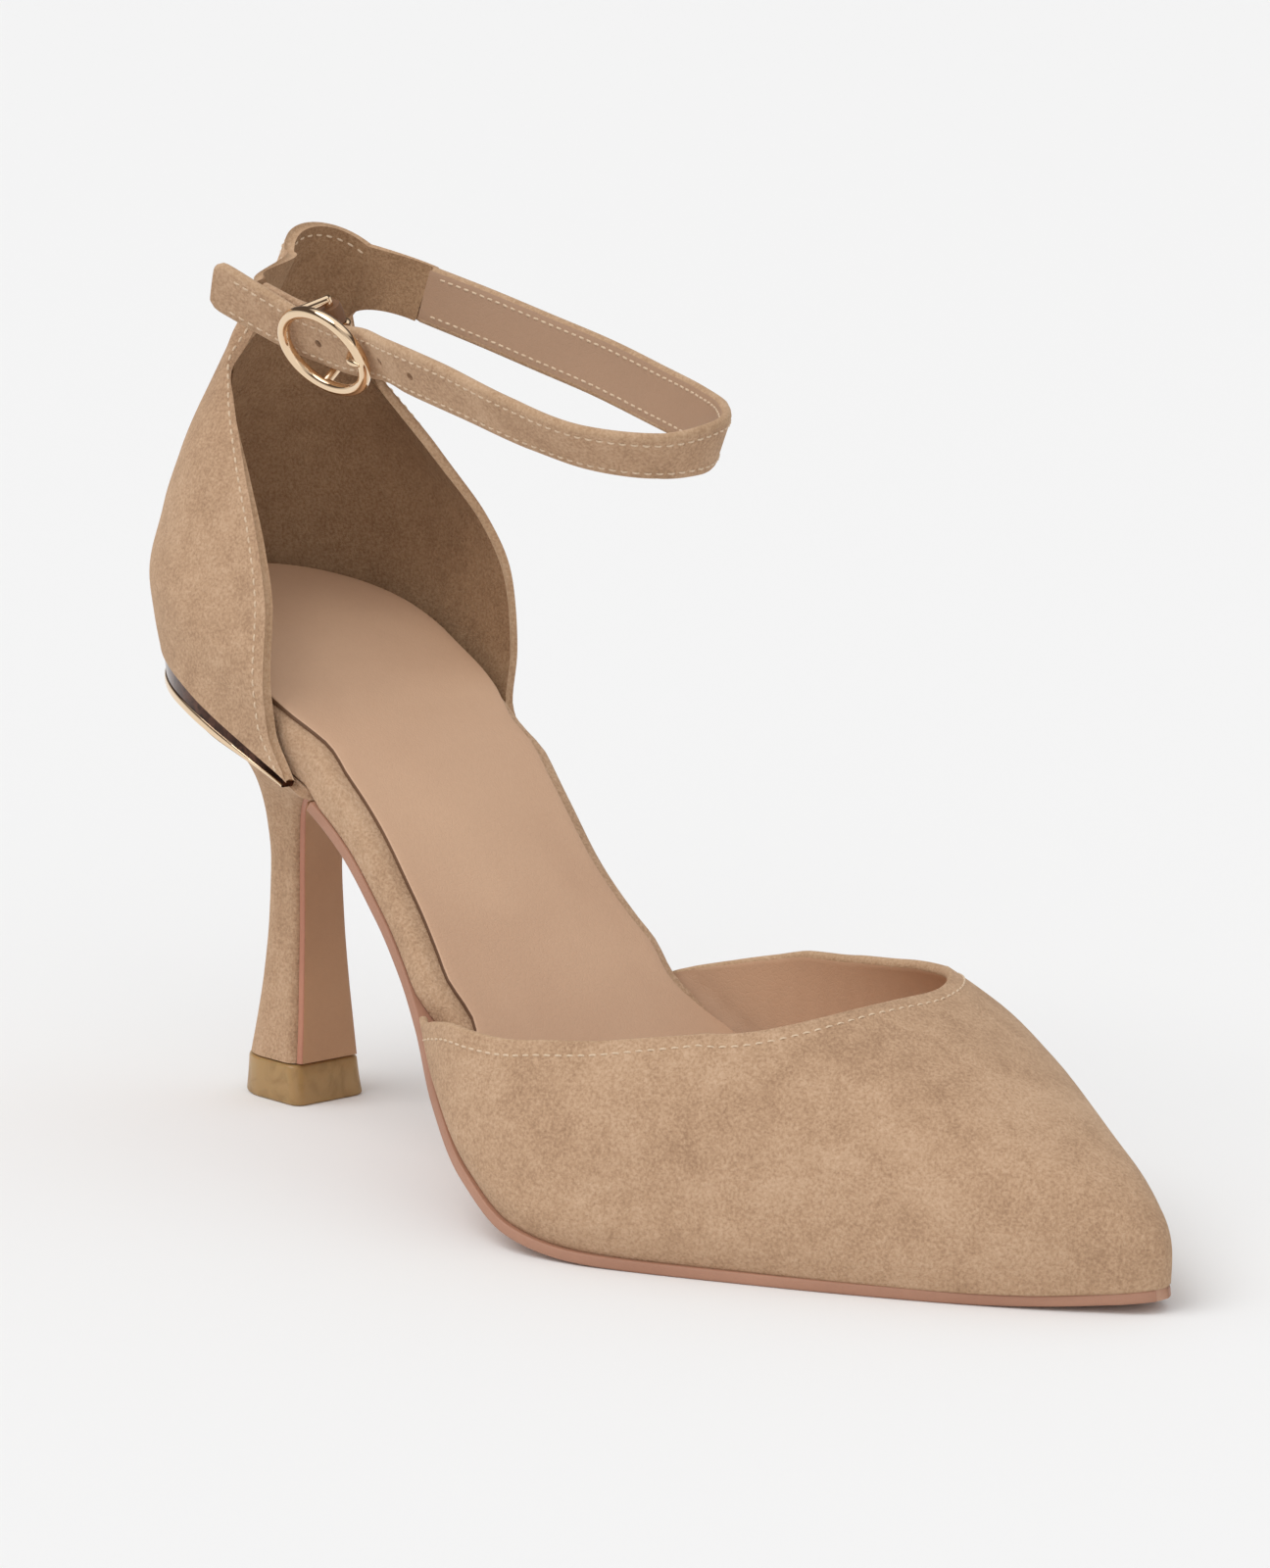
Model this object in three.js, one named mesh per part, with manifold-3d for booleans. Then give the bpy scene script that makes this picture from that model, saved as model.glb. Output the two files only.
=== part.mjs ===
// Ankle strap pump, a right shoe in millimetres.
// +X runs to the toe, +Y to the inner (medial) side of the foot and +Z up.
// Every piece is worked out in a heel frame whose x starts at the back of the heel cup,
// and the finished group is then moved so that its footprint is centred on the origin.
import * as THREE from 'three';
import Module from 'manifold-3d';

// Driving dimensions
const shoeLength = 222;          // back of the heel cup to the toe tip, along the floor
const heelRise = 82;             // top of the outsole up to the feather line at the back seam
const ballWidth = 86;            // greatest width of the bottom, across both sides of the ball
const instepHeight = 62;         // crown of the last above the bottom, at the instep
const toeSpring = 2.0;           // lift of the toe tip above the tread
const seatWidth = 54.4;          // width of the heel cup at the seat
const counterDepth = 53;         // back seam to the front edge of the counter
const counterHeight = 70;        // feather line to the collar's top edge at the back seam
const upperWall = 1.8;           // vamp and counter, suede and lining together
const bulge = 1.0;               // how far the vamp's side stands out past the bottom's outline
const outsoleThickness = 1.9;
const footbedThickness = 4.6;    // suede wrapped board at the waist
const seatPadThickness = 9.5;    // board, wedge and padding at the seat
const forefootBoard = 2.6;       // insole board inside the vamp
const sockThickness = 0.9;
const sockRim = 3.6;             // suede rim that stays bare beside the sock at the waist
const sockGap = 0.6;             // sock's edge to the footbed's edge elsewhere
const footbedEdge = 0.4;         // footbed's side behind the bottom's outline at the waist
const footbedSlack = 0.2;        // extra room between the footbed's side and an upper's wall
const footbedRound = 2.4;        // rounding of the footbed's upper edges
const sockRound = 0.6;
const outsoleEdge = 0.2;         // outsole's side behind the bottom's outline
const outsoleRound = 0.4;
const seatPadStart = 29;         // where the seat's padding starts to thin out
const seatPadEnd = 82;           // and where it has ended
const clearance = 0.3;           // gap that neighbouring solids keep
const sockLift = 0.5;            // gap between the footbed's top and the sock
const seamGap = 0.7;             // gap between a collar arm and what is sewn to its end
const liftHeight = 7;
const breastThickness = 1.0;
const plateHeight = 6.4;         // metal band at the back seam
const plateTipHeight = 1.0;      // and at its two front tips
const plateTaper = 0.8;          // how far its lower edge stands in at the back seam
const plateTipTaper = -0.2;      // and at the two tips, where it stands out
const plateDepth = 2.2;          // how far the band reaches in under the counter
const plateInset = 0.5;          // its upper edge behind the counter's outside
const lipHeight = 1.5;           // bright lip along the band's lower edge
const lipOut = 0.3;              // and how far it stands out from the band's wall
const strapWidth = 10;
const strapThickness = 1.8;
const buckleLength = 22;         // outside, along the strap
const buckleWidth = 17.4;        // outside, across the strap
const buckleWire = 2.1;
const barWire = 1.6;
const prongWire = 1.4;

// Colours and finish, from the photograph
const FINISH = {
  suede: { color: 0xb39a7c, roughness: 0.95, metalness: 0 },
  liningSuede: { color: 0x9b8063, roughness: 0.95, metalness: 0 },
  leather: { color: 0xcaa788, roughness: 0.55, metalness: 0 },
  soleLeather: { color: 0xb98068, roughness: 0.5, metalness: 0 },
  rubber: { color: 0x9a7440, roughness: 0.45, metalness: 0 },
  gold: { color: 0xe6c493, roughness: 0.12, metalness: 1 },
};

// Bottom line of the last: rise above the outsole's top is a share of heelRise, x of shoeLength.
const RISE = [
  { x: 0.000, rise: 1.006 },
  { x: 0.054, rise: 0.966 },
  { x: 0.108, rise: 0.917 },
  { x: 0.162, rise: 0.847 },
  { x: 0.216, rise: 0.783 },
  { x: 0.243, rise: 0.751 },
  { x: 0.270, rise: 0.709 },
  { x: 0.306, rise: 0.633 },
  { x: 0.351, rise: 0.516 },
  { x: 0.387, rise: 0.424 },
  { x: 0.423, rise: 0.336 },
  { x: 0.477, rise: 0.212 },
  { x: 0.532, rise: 0.107 },
  { x: 0.586, rise: 0.032 },
  { x: 0.640, rise: 0.004 },
  { x: 0.694, rise: 0.000 },
  { x: 1.000, rise: 0.000 },
];

// Outline of the bottom from the end of the round seat to the start of the round toe tip.
// lateral and medial are shares of ballWidth, out from the heel frame's axis.
const OUTLINE = [
  { x: 0.146, lateral: 0.316, medial: 0.316 },
  { x: 0.216, lateral: 0.314, medial: 0.314 },
  { x: 0.243, lateral: 0.309, medial: 0.306 },
  { x: 0.270, lateral: 0.300, medial: 0.290 },
  { x: 0.306, lateral: 0.295, medial: 0.273 },
  { x: 0.351, lateral: 0.304, medial: 0.264 },
  { x: 0.387, lateral: 0.326, medial: 0.272 },
  { x: 0.423, lateral: 0.364, medial: 0.300 },
  { x: 0.477, lateral: 0.440, medial: 0.349 },
  { x: 0.532, lateral: 0.495, medial: 0.395 },
  { x: 0.586, lateral: 0.514, medial: 0.436 },
  { x: 0.640, lateral: 0.484, medial: 0.469 },
  { x: 0.694, lateral: 0.423, medial: 0.484 },
  { x: 0.748, lateral: 0.353, medial: 0.474 },
  { x: 0.802, lateral: 0.280, medial: 0.431 },
  { x: 0.856, lateral: 0.200, medial: 0.361 },
  { x: 0.910, lateral: 0.112, medial: 0.277 },
  { x: 0.946, lateral: 0.047, medial: 0.216 },
  { x: 0.973, lateral: -0.009, medial: 0.170 },
];
const tipCentre = 0.0975;        // toe tip's distance from the axis, share of ballWidth

// Sections of the last's front. crown is a share of instepHeight above the feather line,
// fullness the exponent that rounds the section, lean the sideways place of its ridge as a
// share of ballWidth.
const CROWN = [
  { x: 0.405, crown: 1.180, fullness: 2.00, lean: 0.02 },
  { x: 0.480, crown: 1.060, fullness: 2.05, lean: 0.03 },
  { x: 0.560, crown: 0.930, fullness: 2.10, lean: 0.05 },
  { x: 0.640, crown: 0.800, fullness: 2.15, lean: 0.05 },
  { x: 0.700, crown: 0.715, fullness: 2.20, lean: 0.04 },
  { x: 0.752, crown: 0.640, fullness: 2.20, lean: 0.03 },
  { x: 0.802, crown: 0.555, fullness: 2.20, lean: 0.02 },
  { x: 0.856, crown: 0.462, fullness: 2.20, lean: 0.01 },
  { x: 0.910, crown: 0.365, fullness: 2.35, lean: 0.00 },
  { x: 0.950, crown: 0.285, fullness: 2.45, lean: 0.00 },
  { x: 0.978, crown: 0.205, fullness: 2.45, lean: 0.00 },
  { x: 0.993, crown: 0.140, fullness: 2.40, lean: 0.00 },
  { x: 1.000, crown: 0.090, fullness: 2.40, lean: 0.00 },
];

// The vamp's topline, from its start at the waist to where the throat's curve begins.
// lateral and medial are its heights above the feather line, shares of instepHeight.
const TOPLINE = [
  { x: 0.428, lateral: 0.020, medial: 0.015 },
  { x: 0.448, lateral: 0.085, medial: 0.100 },
  { x: 0.472, lateral: 0.180, medial: 0.195 },
  { x: 0.505, lateral: 0.290, medial: 0.315 },
  { x: 0.540, lateral: 0.370, medial: 0.425 },
  { x: 0.595, lateral: 0.475, medial: 0.535 },
  { x: 0.650, lateral: 0.526, medial: 0.590 },
  { x: 0.694, lateral: 0.555, medial: 0.610 },
];
const throatAt = 0.762;          // front of the throat, share of shoeLength

// Levels of the counter. rise and frontRise are heights above the feather line at the back
// seam and at the front edge, shares of counterHeight; back and front are shares of
// counterDepth from the heel frame's start; width and side (how far the level's middle stands
// to the medial side) are shares of seatWidth, and round is a share of cupRoundness.
const LEVELS = [
  { rise: 0.000, back: 0.038, width: 1.000, front: 1.038, frontRise: 0.000, side: 0.000, round: 1.00 },
  { rise: 0.085, back: 0.008, width: 1.020, front: 0.955, frontRise: 0.085, side: 0.002, round: 1.00 },
  { rise: 0.190, back: -0.008, width: 1.060, front: 0.945, frontRise: 0.207, side: 0.010, round: 1.00 },
  { rise: 0.324, back: 0.012, width: 1.025, front: 0.905, frontRise: 0.372, side: 0.036, round: 1.00 },
  { rise: 0.465, back: 0.080, width: 0.955, front: 0.806, frontRise: 0.491, side: 0.046, round: 0.96 },
  { rise: 0.606, back: 0.178, width: 0.815, front: 0.668, frontRise: 0.600, side: 0.036, round: 0.89 },
  { rise: 0.732, back: 0.270, width: 0.650, front: 0.510, frontRise: 0.695, side: 0.036, round: 0.67 },
  { rise: 0.831, back: 0.340, width: 0.535, front: 0.432, frontRise: 0.757, side: 0.044, round: 0.36 },
  { rise: 0.887, back: 0.372, width: 0.430, front: 0.430, frontRise: 0.850, side: 0.068, round: 0.38 },
  { rise: 1.000, back: 0.432, width: 0.420, front: 0.519, frontRise: 1.062, side: 0.090, round: 0.75 },
];
const cupRoundness = 1.12;       // length of the cup's rounded back over its half width

// Rings of the heel block from the lift up. front and back are shares of counterDepth,
// frontHeight and backHeight of heelRise above the floor, width of seatWidth and side of
// heelSide.
const HEEL = [
  { step: 0, front: 0.594, back: 0.283, frontHeight: 0.089, backHeight: 0.089, width: 0.276, side: 1.00 },
  { step: 1, front: 0.587, back: 0.311, frontHeight: 0.171, backHeight: 0.171, width: 0.250, side: 1.00 },
  { step: 2, front: 0.577, back: 0.338, frontHeight: 0.268, backHeight: 0.268, width: 0.224, side: 1.00 },
  { step: 3, front: 0.568, back: 0.358, frontHeight: 0.390, backHeight: 0.390, width: 0.199, side: 1.00 },
  { step: 4, front: 0.562, back: 0.364, frontHeight: 0.512, backHeight: 0.512, width: 0.188, side: 1.00 },
  { step: 5, front: 0.581, back: 0.353, frontHeight: 0.622, backHeight: 0.598, width: 0.213, side: 0.90 },
  { step: 6, front: 0.632, back: 0.332, frontHeight: 0.665, backHeight: 0.682, width: 0.280, side: 0.75 },
  { step: 7, front: 0.736, back: 0.288, frontHeight: 0.695, backHeight: 0.770, width: 0.420, side: 0.50 },
  { step: 8, front: 0.868, back: 0.215, frontHeight: 0.713, backHeight: 0.842, width: 0.610, side: 0.25 },
  { step: 9, front: 1.000, back: 0.130, frontHeight: 0.723, backHeight: 0.898, width: 0.800, side: 0.10 },
];
const heelSide = 1.0;            // heel's foot stands this far to the medial side
const liftFoot = { front: 33.8, back: 14.3, width: 16 };
const liftHead = { front: 32.2, back: 14.6, width: 15.4 };

// The strap's loop, from the seam on the medial collar arm round the front to the buckle.
// x is a share of strapReach from the seam, y a share of strapSpread from the axis, drop a
// share of strapDrop below the seam; lean is the outward tilt of its top edge in degrees.
const ROUTE = [
  { x: 0.000, y: 0.385, drop: 0.00, lean: 8 },
  { x: 0.158, y: 0.410, drop: 0.17, lean: 12 },
  { x: 0.320, y: 0.425, drop: 0.35, lean: 13 },
  { x: 0.483, y: 0.425, drop: 0.52, lean: 13 },
  { x: 0.646, y: 0.395, drop: 0.70, lean: 12 },
  { x: 0.797, y: 0.310, drop: 0.82, lean: 12 },
  { x: 0.924, y: 0.159, drop: 0.89, lean: 12 },
  { x: 1.000, y: -0.049, drop: 0.95, lean: 25 },
  { x: 0.988, y: -0.280, drop: 1.00, lean: 42 },
  { x: 0.878, y: -0.451, drop: 0.95, lean: 42 },
  { x: 0.727, y: -0.507, drop: 0.79, lean: 35 },
  { x: 0.553, y: -0.527, drop: 0.57, lean: 30 },
  { x: 0.402, y: -0.527, drop: 0.41, lean: 29 },
];
const strapReach = 89.2;           // seam on the collar arm to the front of the loop
const strapSpread = 41;          // width of the loop
const strapDrop = 18;            // fall of the loop from the seam to its lowest point
const seam = { x: 41.2, height: 142.3 };
const buckle = { x: 58.8, y: -19.8, height: 137.2, lean: 30, fall: 5 };
const tail = { length: 25.5, drift: 1.6, rise: 8.4, lean: 24 };
const barBehind = 3.6;           // the bar's place behind the buckle's centre
const prongHole = 5.0;           // the prong's hole in front of the buckle's centre
const holeSpacing = 8.8;
const holeWidth = 1.5;

const vec = (x, y, z) => new THREE.Vector3(x, y, z);
const { lerp, clamp, degToRad } = THREE.MathUtils;

// Smooth value of one column of a table, through every row and without overshoot
function column(table, name, at, key = 'x') {
  const last = table.length - 1;
  const where = clamp(at, table[0][key], table[last][key]);
  let row = 0;
  while (row < last - 1 && where > table[row + 1][key]) {
    row += 1;
  }
  const rate = (i) => (table[i + 1][name] - table[i][name]) / (table[i + 1][key] - table[i][key]);
  const slope = (i) => {
    const before = rate(Math.max(i - 1, 0));
    const after = rate(Math.min(i, last - 1));
    return before * after > 0 ? (2 * before * after) / (before + after) : 0;
  };
  const span = table[row + 1][key] - table[row][key];
  const t = (where - table[row][key]) / span;
  const start = table[row][name];
  const end = table[row + 1][name];
  const leave = slope(row) * span;
  const arrive = slope(row + 1) * span;
  return start + t * leave
    + t * t * (3 * (end - start) - 2 * leave - arrive)
    + t * t * t * (leave + arrive - 2 * (end - start));
}

// Closed body from points and triangles, turned so that its faces point out
function body(points, faces) {
  let volume = 0;
  for (const [a, b, c] of faces) {
    volume += points[a].dot(points[b].clone().cross(points[c]));
  }
  const order = volume < 0 ? ([a, b, c]) => [a, c, b] : (face) => face;
  const geometry = new THREE.BufferGeometry();
  geometry.setAttribute('position', new THREE.Float32BufferAttribute(
    points.flatMap((p) => [p.x, p.y, p.z]), 3));
  geometry.setIndex(faces.flatMap(order));
  return geometry;
}

// Body through a row of rings with equally many points, capped at both ends or joined up
function loft(rings, closed = false) {
  const count = rings[0].length;
  const points = rings.flat();
  const faces = [];
  const strips = closed ? rings.length : rings.length - 1;
  for (let i = 0; i < strips; i += 1) {
    const next = ((i + 1) % rings.length) * count;
    for (let j = 0; j < count; j += 1) {
      const k = (j + 1) % count;
      faces.push([i * count + j, i * count + k, next + k]);
      faces.push([i * count + j, next + k, next + j]);
    }
  }
  if (!closed) {
    const first = points.push(middle(rings[0])) - 1;
    const end = points.push(middle(rings[rings.length - 1])) - 1;
    const top = (rings.length - 1) * count;
    for (let j = 0; j < count; j += 1) {
      const k = (j + 1) % count;
      faces.push([first, k, j]);
      faces.push([end, top + j, top + k]);
    }
  }
  return body(points, faces);
}

function middle(ring) {
  return ring.reduce((sum, p) => sum.add(p), vec(0, 0, 0)).divideScalar(ring.length);
}

// Walled body between two grids of points. Cells that are not present leave it open there;
// weld names the grid place that stands for another at the same point.
function shell(outer, inner, columns, rows, present, weld = (i, j) => [i, j]) {
  const points = [];
  const number = new Map();
  const place = (side, i, j) => {
    const key = `${side} ${i} ${j}`;
    if (!number.has(key)) {
      number.set(key, points.push(side === 'out' ? outer(i, j) : inner(i, j)) - 1);
    }
    return number.get(key);
  };
  const faces = [];
  const edges = new Map();
  for (let i = 0; i < columns; i += 1) {
    for (let j = 0; j < rows; j += 1) {
      if (present(i, j)) {
        const corners = [[i, j], [i + 1, j], [i + 1, j + 1], [i, j + 1]]
          .map(([p, q]) => weld(p, q));
        const [a, b, c, d] = corners.map(([p, q]) => place('out', p, q));
        const [e, f, g, h] = corners.map(([p, q]) => place('in', p, q));
        faces.push([a, b, c], [a, c, d], [e, g, f], [e, h, g]);
        corners.forEach((corner, n) => {
          const to = corners[(n + 1) % 4];
          const back = `${to} ${corner}`;
          if (edges.has(back)) edges.delete(back);
          else edges.set(`${corner} ${to}`, [corner, to]);
        });
      }
    }
  }
  for (const [from, to] of edges.values()) {
    const a = place('out', ...from);
    const b = place('out', ...to);
    const c = place('in', ...from);
    const d = place('in', ...to);
    faces.push([b, a, c], [b, c, d]);
  }
  return body(points, faces);
}

const wasm = await Module();
wasm.setup();

function toManifold(geometry) {
  return new wasm.Manifold(new wasm.Mesh({
    numProp: 3,
    vertProperties: new Float32Array(geometry.attributes.position.array),
    triVerts: new Uint32Array(geometry.index.array),
  }));
}

function fromManifold(solid) {
  const mesh = solid.getMesh();
  const geometry = new THREE.BufferGeometry();
  geometry.setAttribute('position', new THREE.BufferAttribute(mesh.vertProperties, 3));
  geometry.setIndex(new THREE.BufferAttribute(mesh.triVerts, 1));
  return geometry;
}

// Bottom of the last

const springStart = 0.874;       // where the toe spring starts, share of shoeLength
const toeRoom = 7.5;             // toe tip of the outsole to the front end of the footbed
const seatFront = 0.268;         // where the seat ends and the shank begins

function bottomHeight(x) {
  const share = x / shoeLength;
  const past = Math.max(0, (share - springStart) / (1 - springStart));
  return outsoleThickness + column(RISE, 'rise', share) * heelRise + toeSpring * past * past;
}

// Point at a distance off the bottom line, along the line's own normal
function offBottom(x, y, distance) {
  const step = 0.5;
  const slope = (bottomHeight(x + step) - bottomHeight(x - step)) / (2 * step);
  const length = Math.hypot(slope, 1);
  return vec(x - (slope / length) * distance, y, bottomHeight(x) + distance / length);
}

// The seat's round back as one quarter ellipse on each side
const seatHalf = seatWidth / 2;
const seatBack = 0.038 * counterDepth;
const seatLong = seatHalf * cupRoundness;
const seatWidest = seatBack + seatLong;
const tipStart = OUTLINE[OUTLINE.length - 1].x;

// Distances of the outline from the axis at one place along the shoe
function outline(x) {
  const share = x / shoeLength;
  if (x < seatWidest) {
    const half = seatHalf * Math.sqrt(Math.max(0, 1 - ((seatWidest - x) / seatLong) ** 2));
    return { lateral: half, medial: half };
  }
  const lateral = column(OUTLINE, 'lateral', share) * ballWidth;
  const medial = column(OUTLINE, 'medial', share) * ballWidth;
  const past = clamp((share - tipStart) / (1 - tipStart), 0, 1);
  const half = ((lateral + medial) / 2) * Math.sqrt(1 - past);
  const centre = lerp((medial - lateral) / 2, tipCentre * ballWidth, past);
  return { lateral: half - centre, medial: half + centre };
}

// Place along the shoe for a station: 0 is the back of the seat, 1 the toe tip
const seatStations = 0.22;

function stationX(station) {
  if (station < seatStations) {
    return seatWidest - seatLong * Math.cos((station / seatStations) * (Math.PI / 2));
  }
  const t = (station - seatStations) / (1 - seatStations);
  return lerp(seatWidest, shoeLength, 1 - (1 - t) ** 1.7);
}

// Point of the outline at a station, moved inwards at right angles to it
function edgePoint(station, side, inset) {
  const place = (at) => {
    const x = stationX(clamp(at, 0, 1));
    return vec(x, (side === 'lateral' ? -1 : 1) * outline(x)[side], 0);
  };
  const step = 0.004;
  const along = place(station + step).sub(place(station - step)).normalize();
  const inward = side === 'lateral' ? vec(-along.y, along.x, 0) : vec(along.y, -along.x, 0);
  return place(station).addScaledVector(inward, inset);
}

// Ring across the bottom between two heights off it, its upper edges rounded
function soleRing(station, low, high, inset, roundness) {
  const drop = Math.min(roundness, (high - low) * 0.7);
  const sides = (side) => [
    { inset, off: low },
    { inset, off: high - drop },
    { inset: inset + roundness * 0.3, off: high - drop * 0.3 },
    { inset: inset + roundness, off: high },
  ].map((row) => ({ at: edgePoint(station, side, row.inset), off: row.off }));
  const lateral = sides('lateral');
  const medial = sides('medial').reverse();
  const half = (a, b) => ({ at: a.at.clone().lerp(b.at, 0.5), off: a.off });
  const rows = [...lateral, half(lateral[3], medial[0]), ...medial, half(medial[3], lateral[0])];
  return rows.map(({ at, off }) => offBottom(at.x, at.y, off));
}

// Stations whose places lie between two places along the shoe
function stationsBetween(from, to, count) {
  const find = (x) => {
    let low = 0;
    let high = 1;
    for (let i = 0; i < 40; i += 1) {
      const mid = (low + high) / 2;
      if (stationX(mid) < x) low = mid;
      else high = mid;
    }
    return low;
  };
  const start = find(from);
  const end = find(to);
  return Array.from({ length: count + 1 }, (_, i) => lerp(start, end, i / count));
}

function makeOutsole() {
  const start = seatFront * shoeLength;
  return loft(stationsBetween(start, shoeLength - 0.25, 35).map((station) => (
    soleRing(station, -outsoleThickness, 0, outsoleEdge, outsoleRound))));
}

// Footbed and sock

const smooth = THREE.MathUtils.smoothstep;
const counterFront = LEVELS[0].front * counterDepth;
const vampStart = TOPLINE[0].x * shoeLength;

const wallFade = 6.5;            // length over which the footbed's side goes in beside a wall
const boardFade = 31;            // length over which it thins to the forefoot board
const sockFade = 14;             // length over which the sock's edge moves in or out

// How far the footbed's side stands back: inside the counter, bare at the waist, inside the vamp
function footbedInset(x) {
  const inCounter = 1 - smooth(x, counterFront + clearance, counterFront + wallFade);
  const inVamp = smooth(x, vampStart - wallFade, vampStart + clearance);
  return footbedEdge + inCounter * (upperWall + footbedSlack)
    + inVamp * (upperWall + footbedSlack + bulge);
}

function footbedThick(x) {
  const seat = 1 - smooth(x, seatPadStart, seatPadEnd);
  const front = smooth(x, vampStart - wallFade, vampStart + boardFade);
  return footbedThickness + seat * (seatPadThickness - footbedThickness)
    + front * (forefootBoard - footbedThickness);
}

function makeFootbed() {
  const front = shoeLength - toeRoom;
  return loft(stationsBetween(seatBack + footbedEdge, front, 39).map((station) => {
    const x = stationX(station);
    return soleRing(station, clearance, footbedThick(x), footbedInset(x), footbedRound);
  }));
}

function makeSock() {
  const front = shoeLength - toeRoom - sockRim;
  return loft(stationsBetween(seatBack + sockGap, front, 33).map((station) => {
    const x = stationX(station);
    const inCounter = 1 - smooth(x, counterFront - sockFade, counterFront + wallFade);
    const inVamp = smooth(x, vampStart, vampStart + sockFade);
    const bare = (1 - inCounter) * (1 - inVamp);
    const inset = footbedInset(x) + lerp(sockGap, sockRim, bare);
    const base = footbedThick(x) + sockLift;
    return soleRing(station, base, base + sockThickness, inset, sockRound);
  }));
}

// Counter with its two collar arms

function cupPlace(turn, level) {
  const value = (name) => column(LEVELS, name, level, 'rise');
  const half = value('width') * seatHalf;
  const long = half * cupRoundness * value('round');
  const back = value('back') * counterDepth;
  const front = value('front') * counterDepth;
  const widest = back + long;
  const end = front < widest
    ? Math.acos((widest - front) / long)
    : Math.PI / 2 + (front - widest) / long;
  const size = Math.abs(turn * end);
  const curved = size < Math.PI / 2;
  const x = curved ? widest - long * Math.cos(size) : widest + long * (size - Math.PI / 2);
  const y = Math.sign(turn) * half * (curved ? Math.sin(size) : 1);
  const backLift = level * counterHeight + bottomHeight(seatBack) - bottomHeight(back);
  const frontLift = value('frontRise') * counterHeight;
  const lift = lerp(backLift, frontLift, (x - back) / (front - back));
  return vec(x, value('side') * seatWidth + y, bottomHeight(x) + lift + clearance);
}

// The same place moved inwards along the surface's normal
function cupPoint(turn, level, depth) {
  const step = 0.004;
  const across = cupPlace(turn + step, level).sub(cupPlace(turn - step, level));
  const up = cupPlace(turn, Math.min(level + step, 1))
    .sub(cupPlace(turn, Math.max(level - step, 0)));
  const inward = across.cross(up).normalize();
  return cupPlace(turn, level).addScaledVector(inward, depth);
}

function hermite(start, leave, end, arrive, t) {
  const s = 1 - t;
  return start.clone().multiplyScalar(s * s * (1 + 2 * t))
    .addScaledVector(leave, t * s * s)
    .addScaledVector(end, t * t * (1 + 2 * s))
    .addScaledVector(arrive, -t * t * s);
}

// Frame with its length, outward and width directions; the width leans outwards at its top
function frame(centre, along, lean) {
  const forward = along.clone().normalize();
  const up = vec(0, 0, 1).addScaledVector(forward, -forward.z).normalize();
  const out = up.clone().cross(forward).normalize();
  const turn = degToRad(lean);
  return {
    centre,
    along: forward,
    up: up.clone().multiplyScalar(Math.cos(turn)).addScaledVector(out, Math.sin(turn)),
    out: out.clone().multiplyScalar(Math.cos(turn)).addScaledVector(up, -Math.sin(turn)),
  };
}

// Point in a frame: so far along it, outwards and up its width
function inFrame(at, along, out, up) {
  return at.centre.clone().addScaledVector(at.along, along)
    .addScaledVector(at.out, out).addScaledVector(at.up, up);
}

// The buckle's frame runs back along the strap, towards the tail
const fall = degToRad(buckle.fall);
const buckleFrame = frame(
  vec(buckle.x, buckle.y, buckle.height),
  vec(-Math.cos(fall), 0, Math.sin(fall)),
  buckle.lean,
);
const inBuckle = (along, out, up = 0) => inFrame(buckleFrame, along, out, up);

// Depths in the buckle, outwards from the strap's middle plane
const strapDip = -0.3;
const prongLoop = barWire / 2 + clearance + prongWire / 2;
const barDepth = strapDip - strapThickness / 2 - clearance - prongWire / 2 - prongLoop;
const billetWall = 0.9;
const billetWidth = strapWidth - 1.4;
const eyeRadius = barWire / 2 + clearance + billetWall;
const billetEnd = { along: 21, out: -3.8, up: 1.2, lean: 22 };

// Where the arms meet the strap and the billet
const medialSeam = frame(
  vec(seam.x - seamGap, ROUTE[0].y * strapSpread, seam.height),
  vec(1, 0.16, -0.3),
  ROUTE[0].lean,
);
const lateralSeam = frame(
  inBuckle(billetEnd.along + seamGap, billetEnd.out, billetEnd.up),
  vec(-1, 0.22, 0.16),
  billetEnd.lean,
);

const cupColumns = 32;
const armColumns = 6;
const cupLevels = [0, 0.045, 0.12, 0.2, 0.3, 0.4, 0.5, 0.6, 0.7, 0.78, 0.84, 0.887, 0.925, 0.963, 1];
const armRow = 11;               // index of the level at which the arms start

// Point of a collar arm; t runs from the cup's front edge to the seam
function armPoint(side, t, row, depth) {
  const at = side > 0 ? medialSeam : lateralSeam;
  const forward = side > 0 ? at.along : at.along.clone().negate();
  const half = strapWidth / 2;
  const start = cupPoint(side, 1, depth);
  const reach = start.distanceTo(at.centre) * 0.8;
  const out = strapThickness / 2 - depth;
  const low = hermite(
    cupPoint(side, cupLevels[armRow], depth), vec(reach * 0.55, 0, reach * 0.75),
    inFrame(at, 0, out, -half), forward.clone().multiplyScalar(reach), t);
  const high = hermite(
    start, vec(reach, side * reach * 0.1, -reach * 0.15),
    inFrame(at, 0, out, half), forward.clone().multiplyScalar(reach), t);
  return low.lerp(high, (row - armRow) / (cupLevels.length - 1 - armRow));
}

function makeCounter() {
  const columns = cupColumns + 2 * armColumns;
  const surface = (depth) => (i, j) => {
    const turn = ((i - armColumns) / cupColumns) * 2 - 1;
    if (Math.abs(turn) > 1.0001) {
      const steps = turn < 0 ? armColumns - i : i - armColumns - cupColumns;
      return armPoint(Math.sign(turn), (steps / armColumns) ** 1.4, j, depth);
    }
    return cupPoint(turn, cupLevels[j], depth);
  };
  const present = (i, j) => (
    j >= armRow || (i >= armColumns && i < armColumns + cupColumns));
  return shell(surface(0), surface(upperWall), columns, cupLevels.length - 1, present);
}

// Vamp

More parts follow.
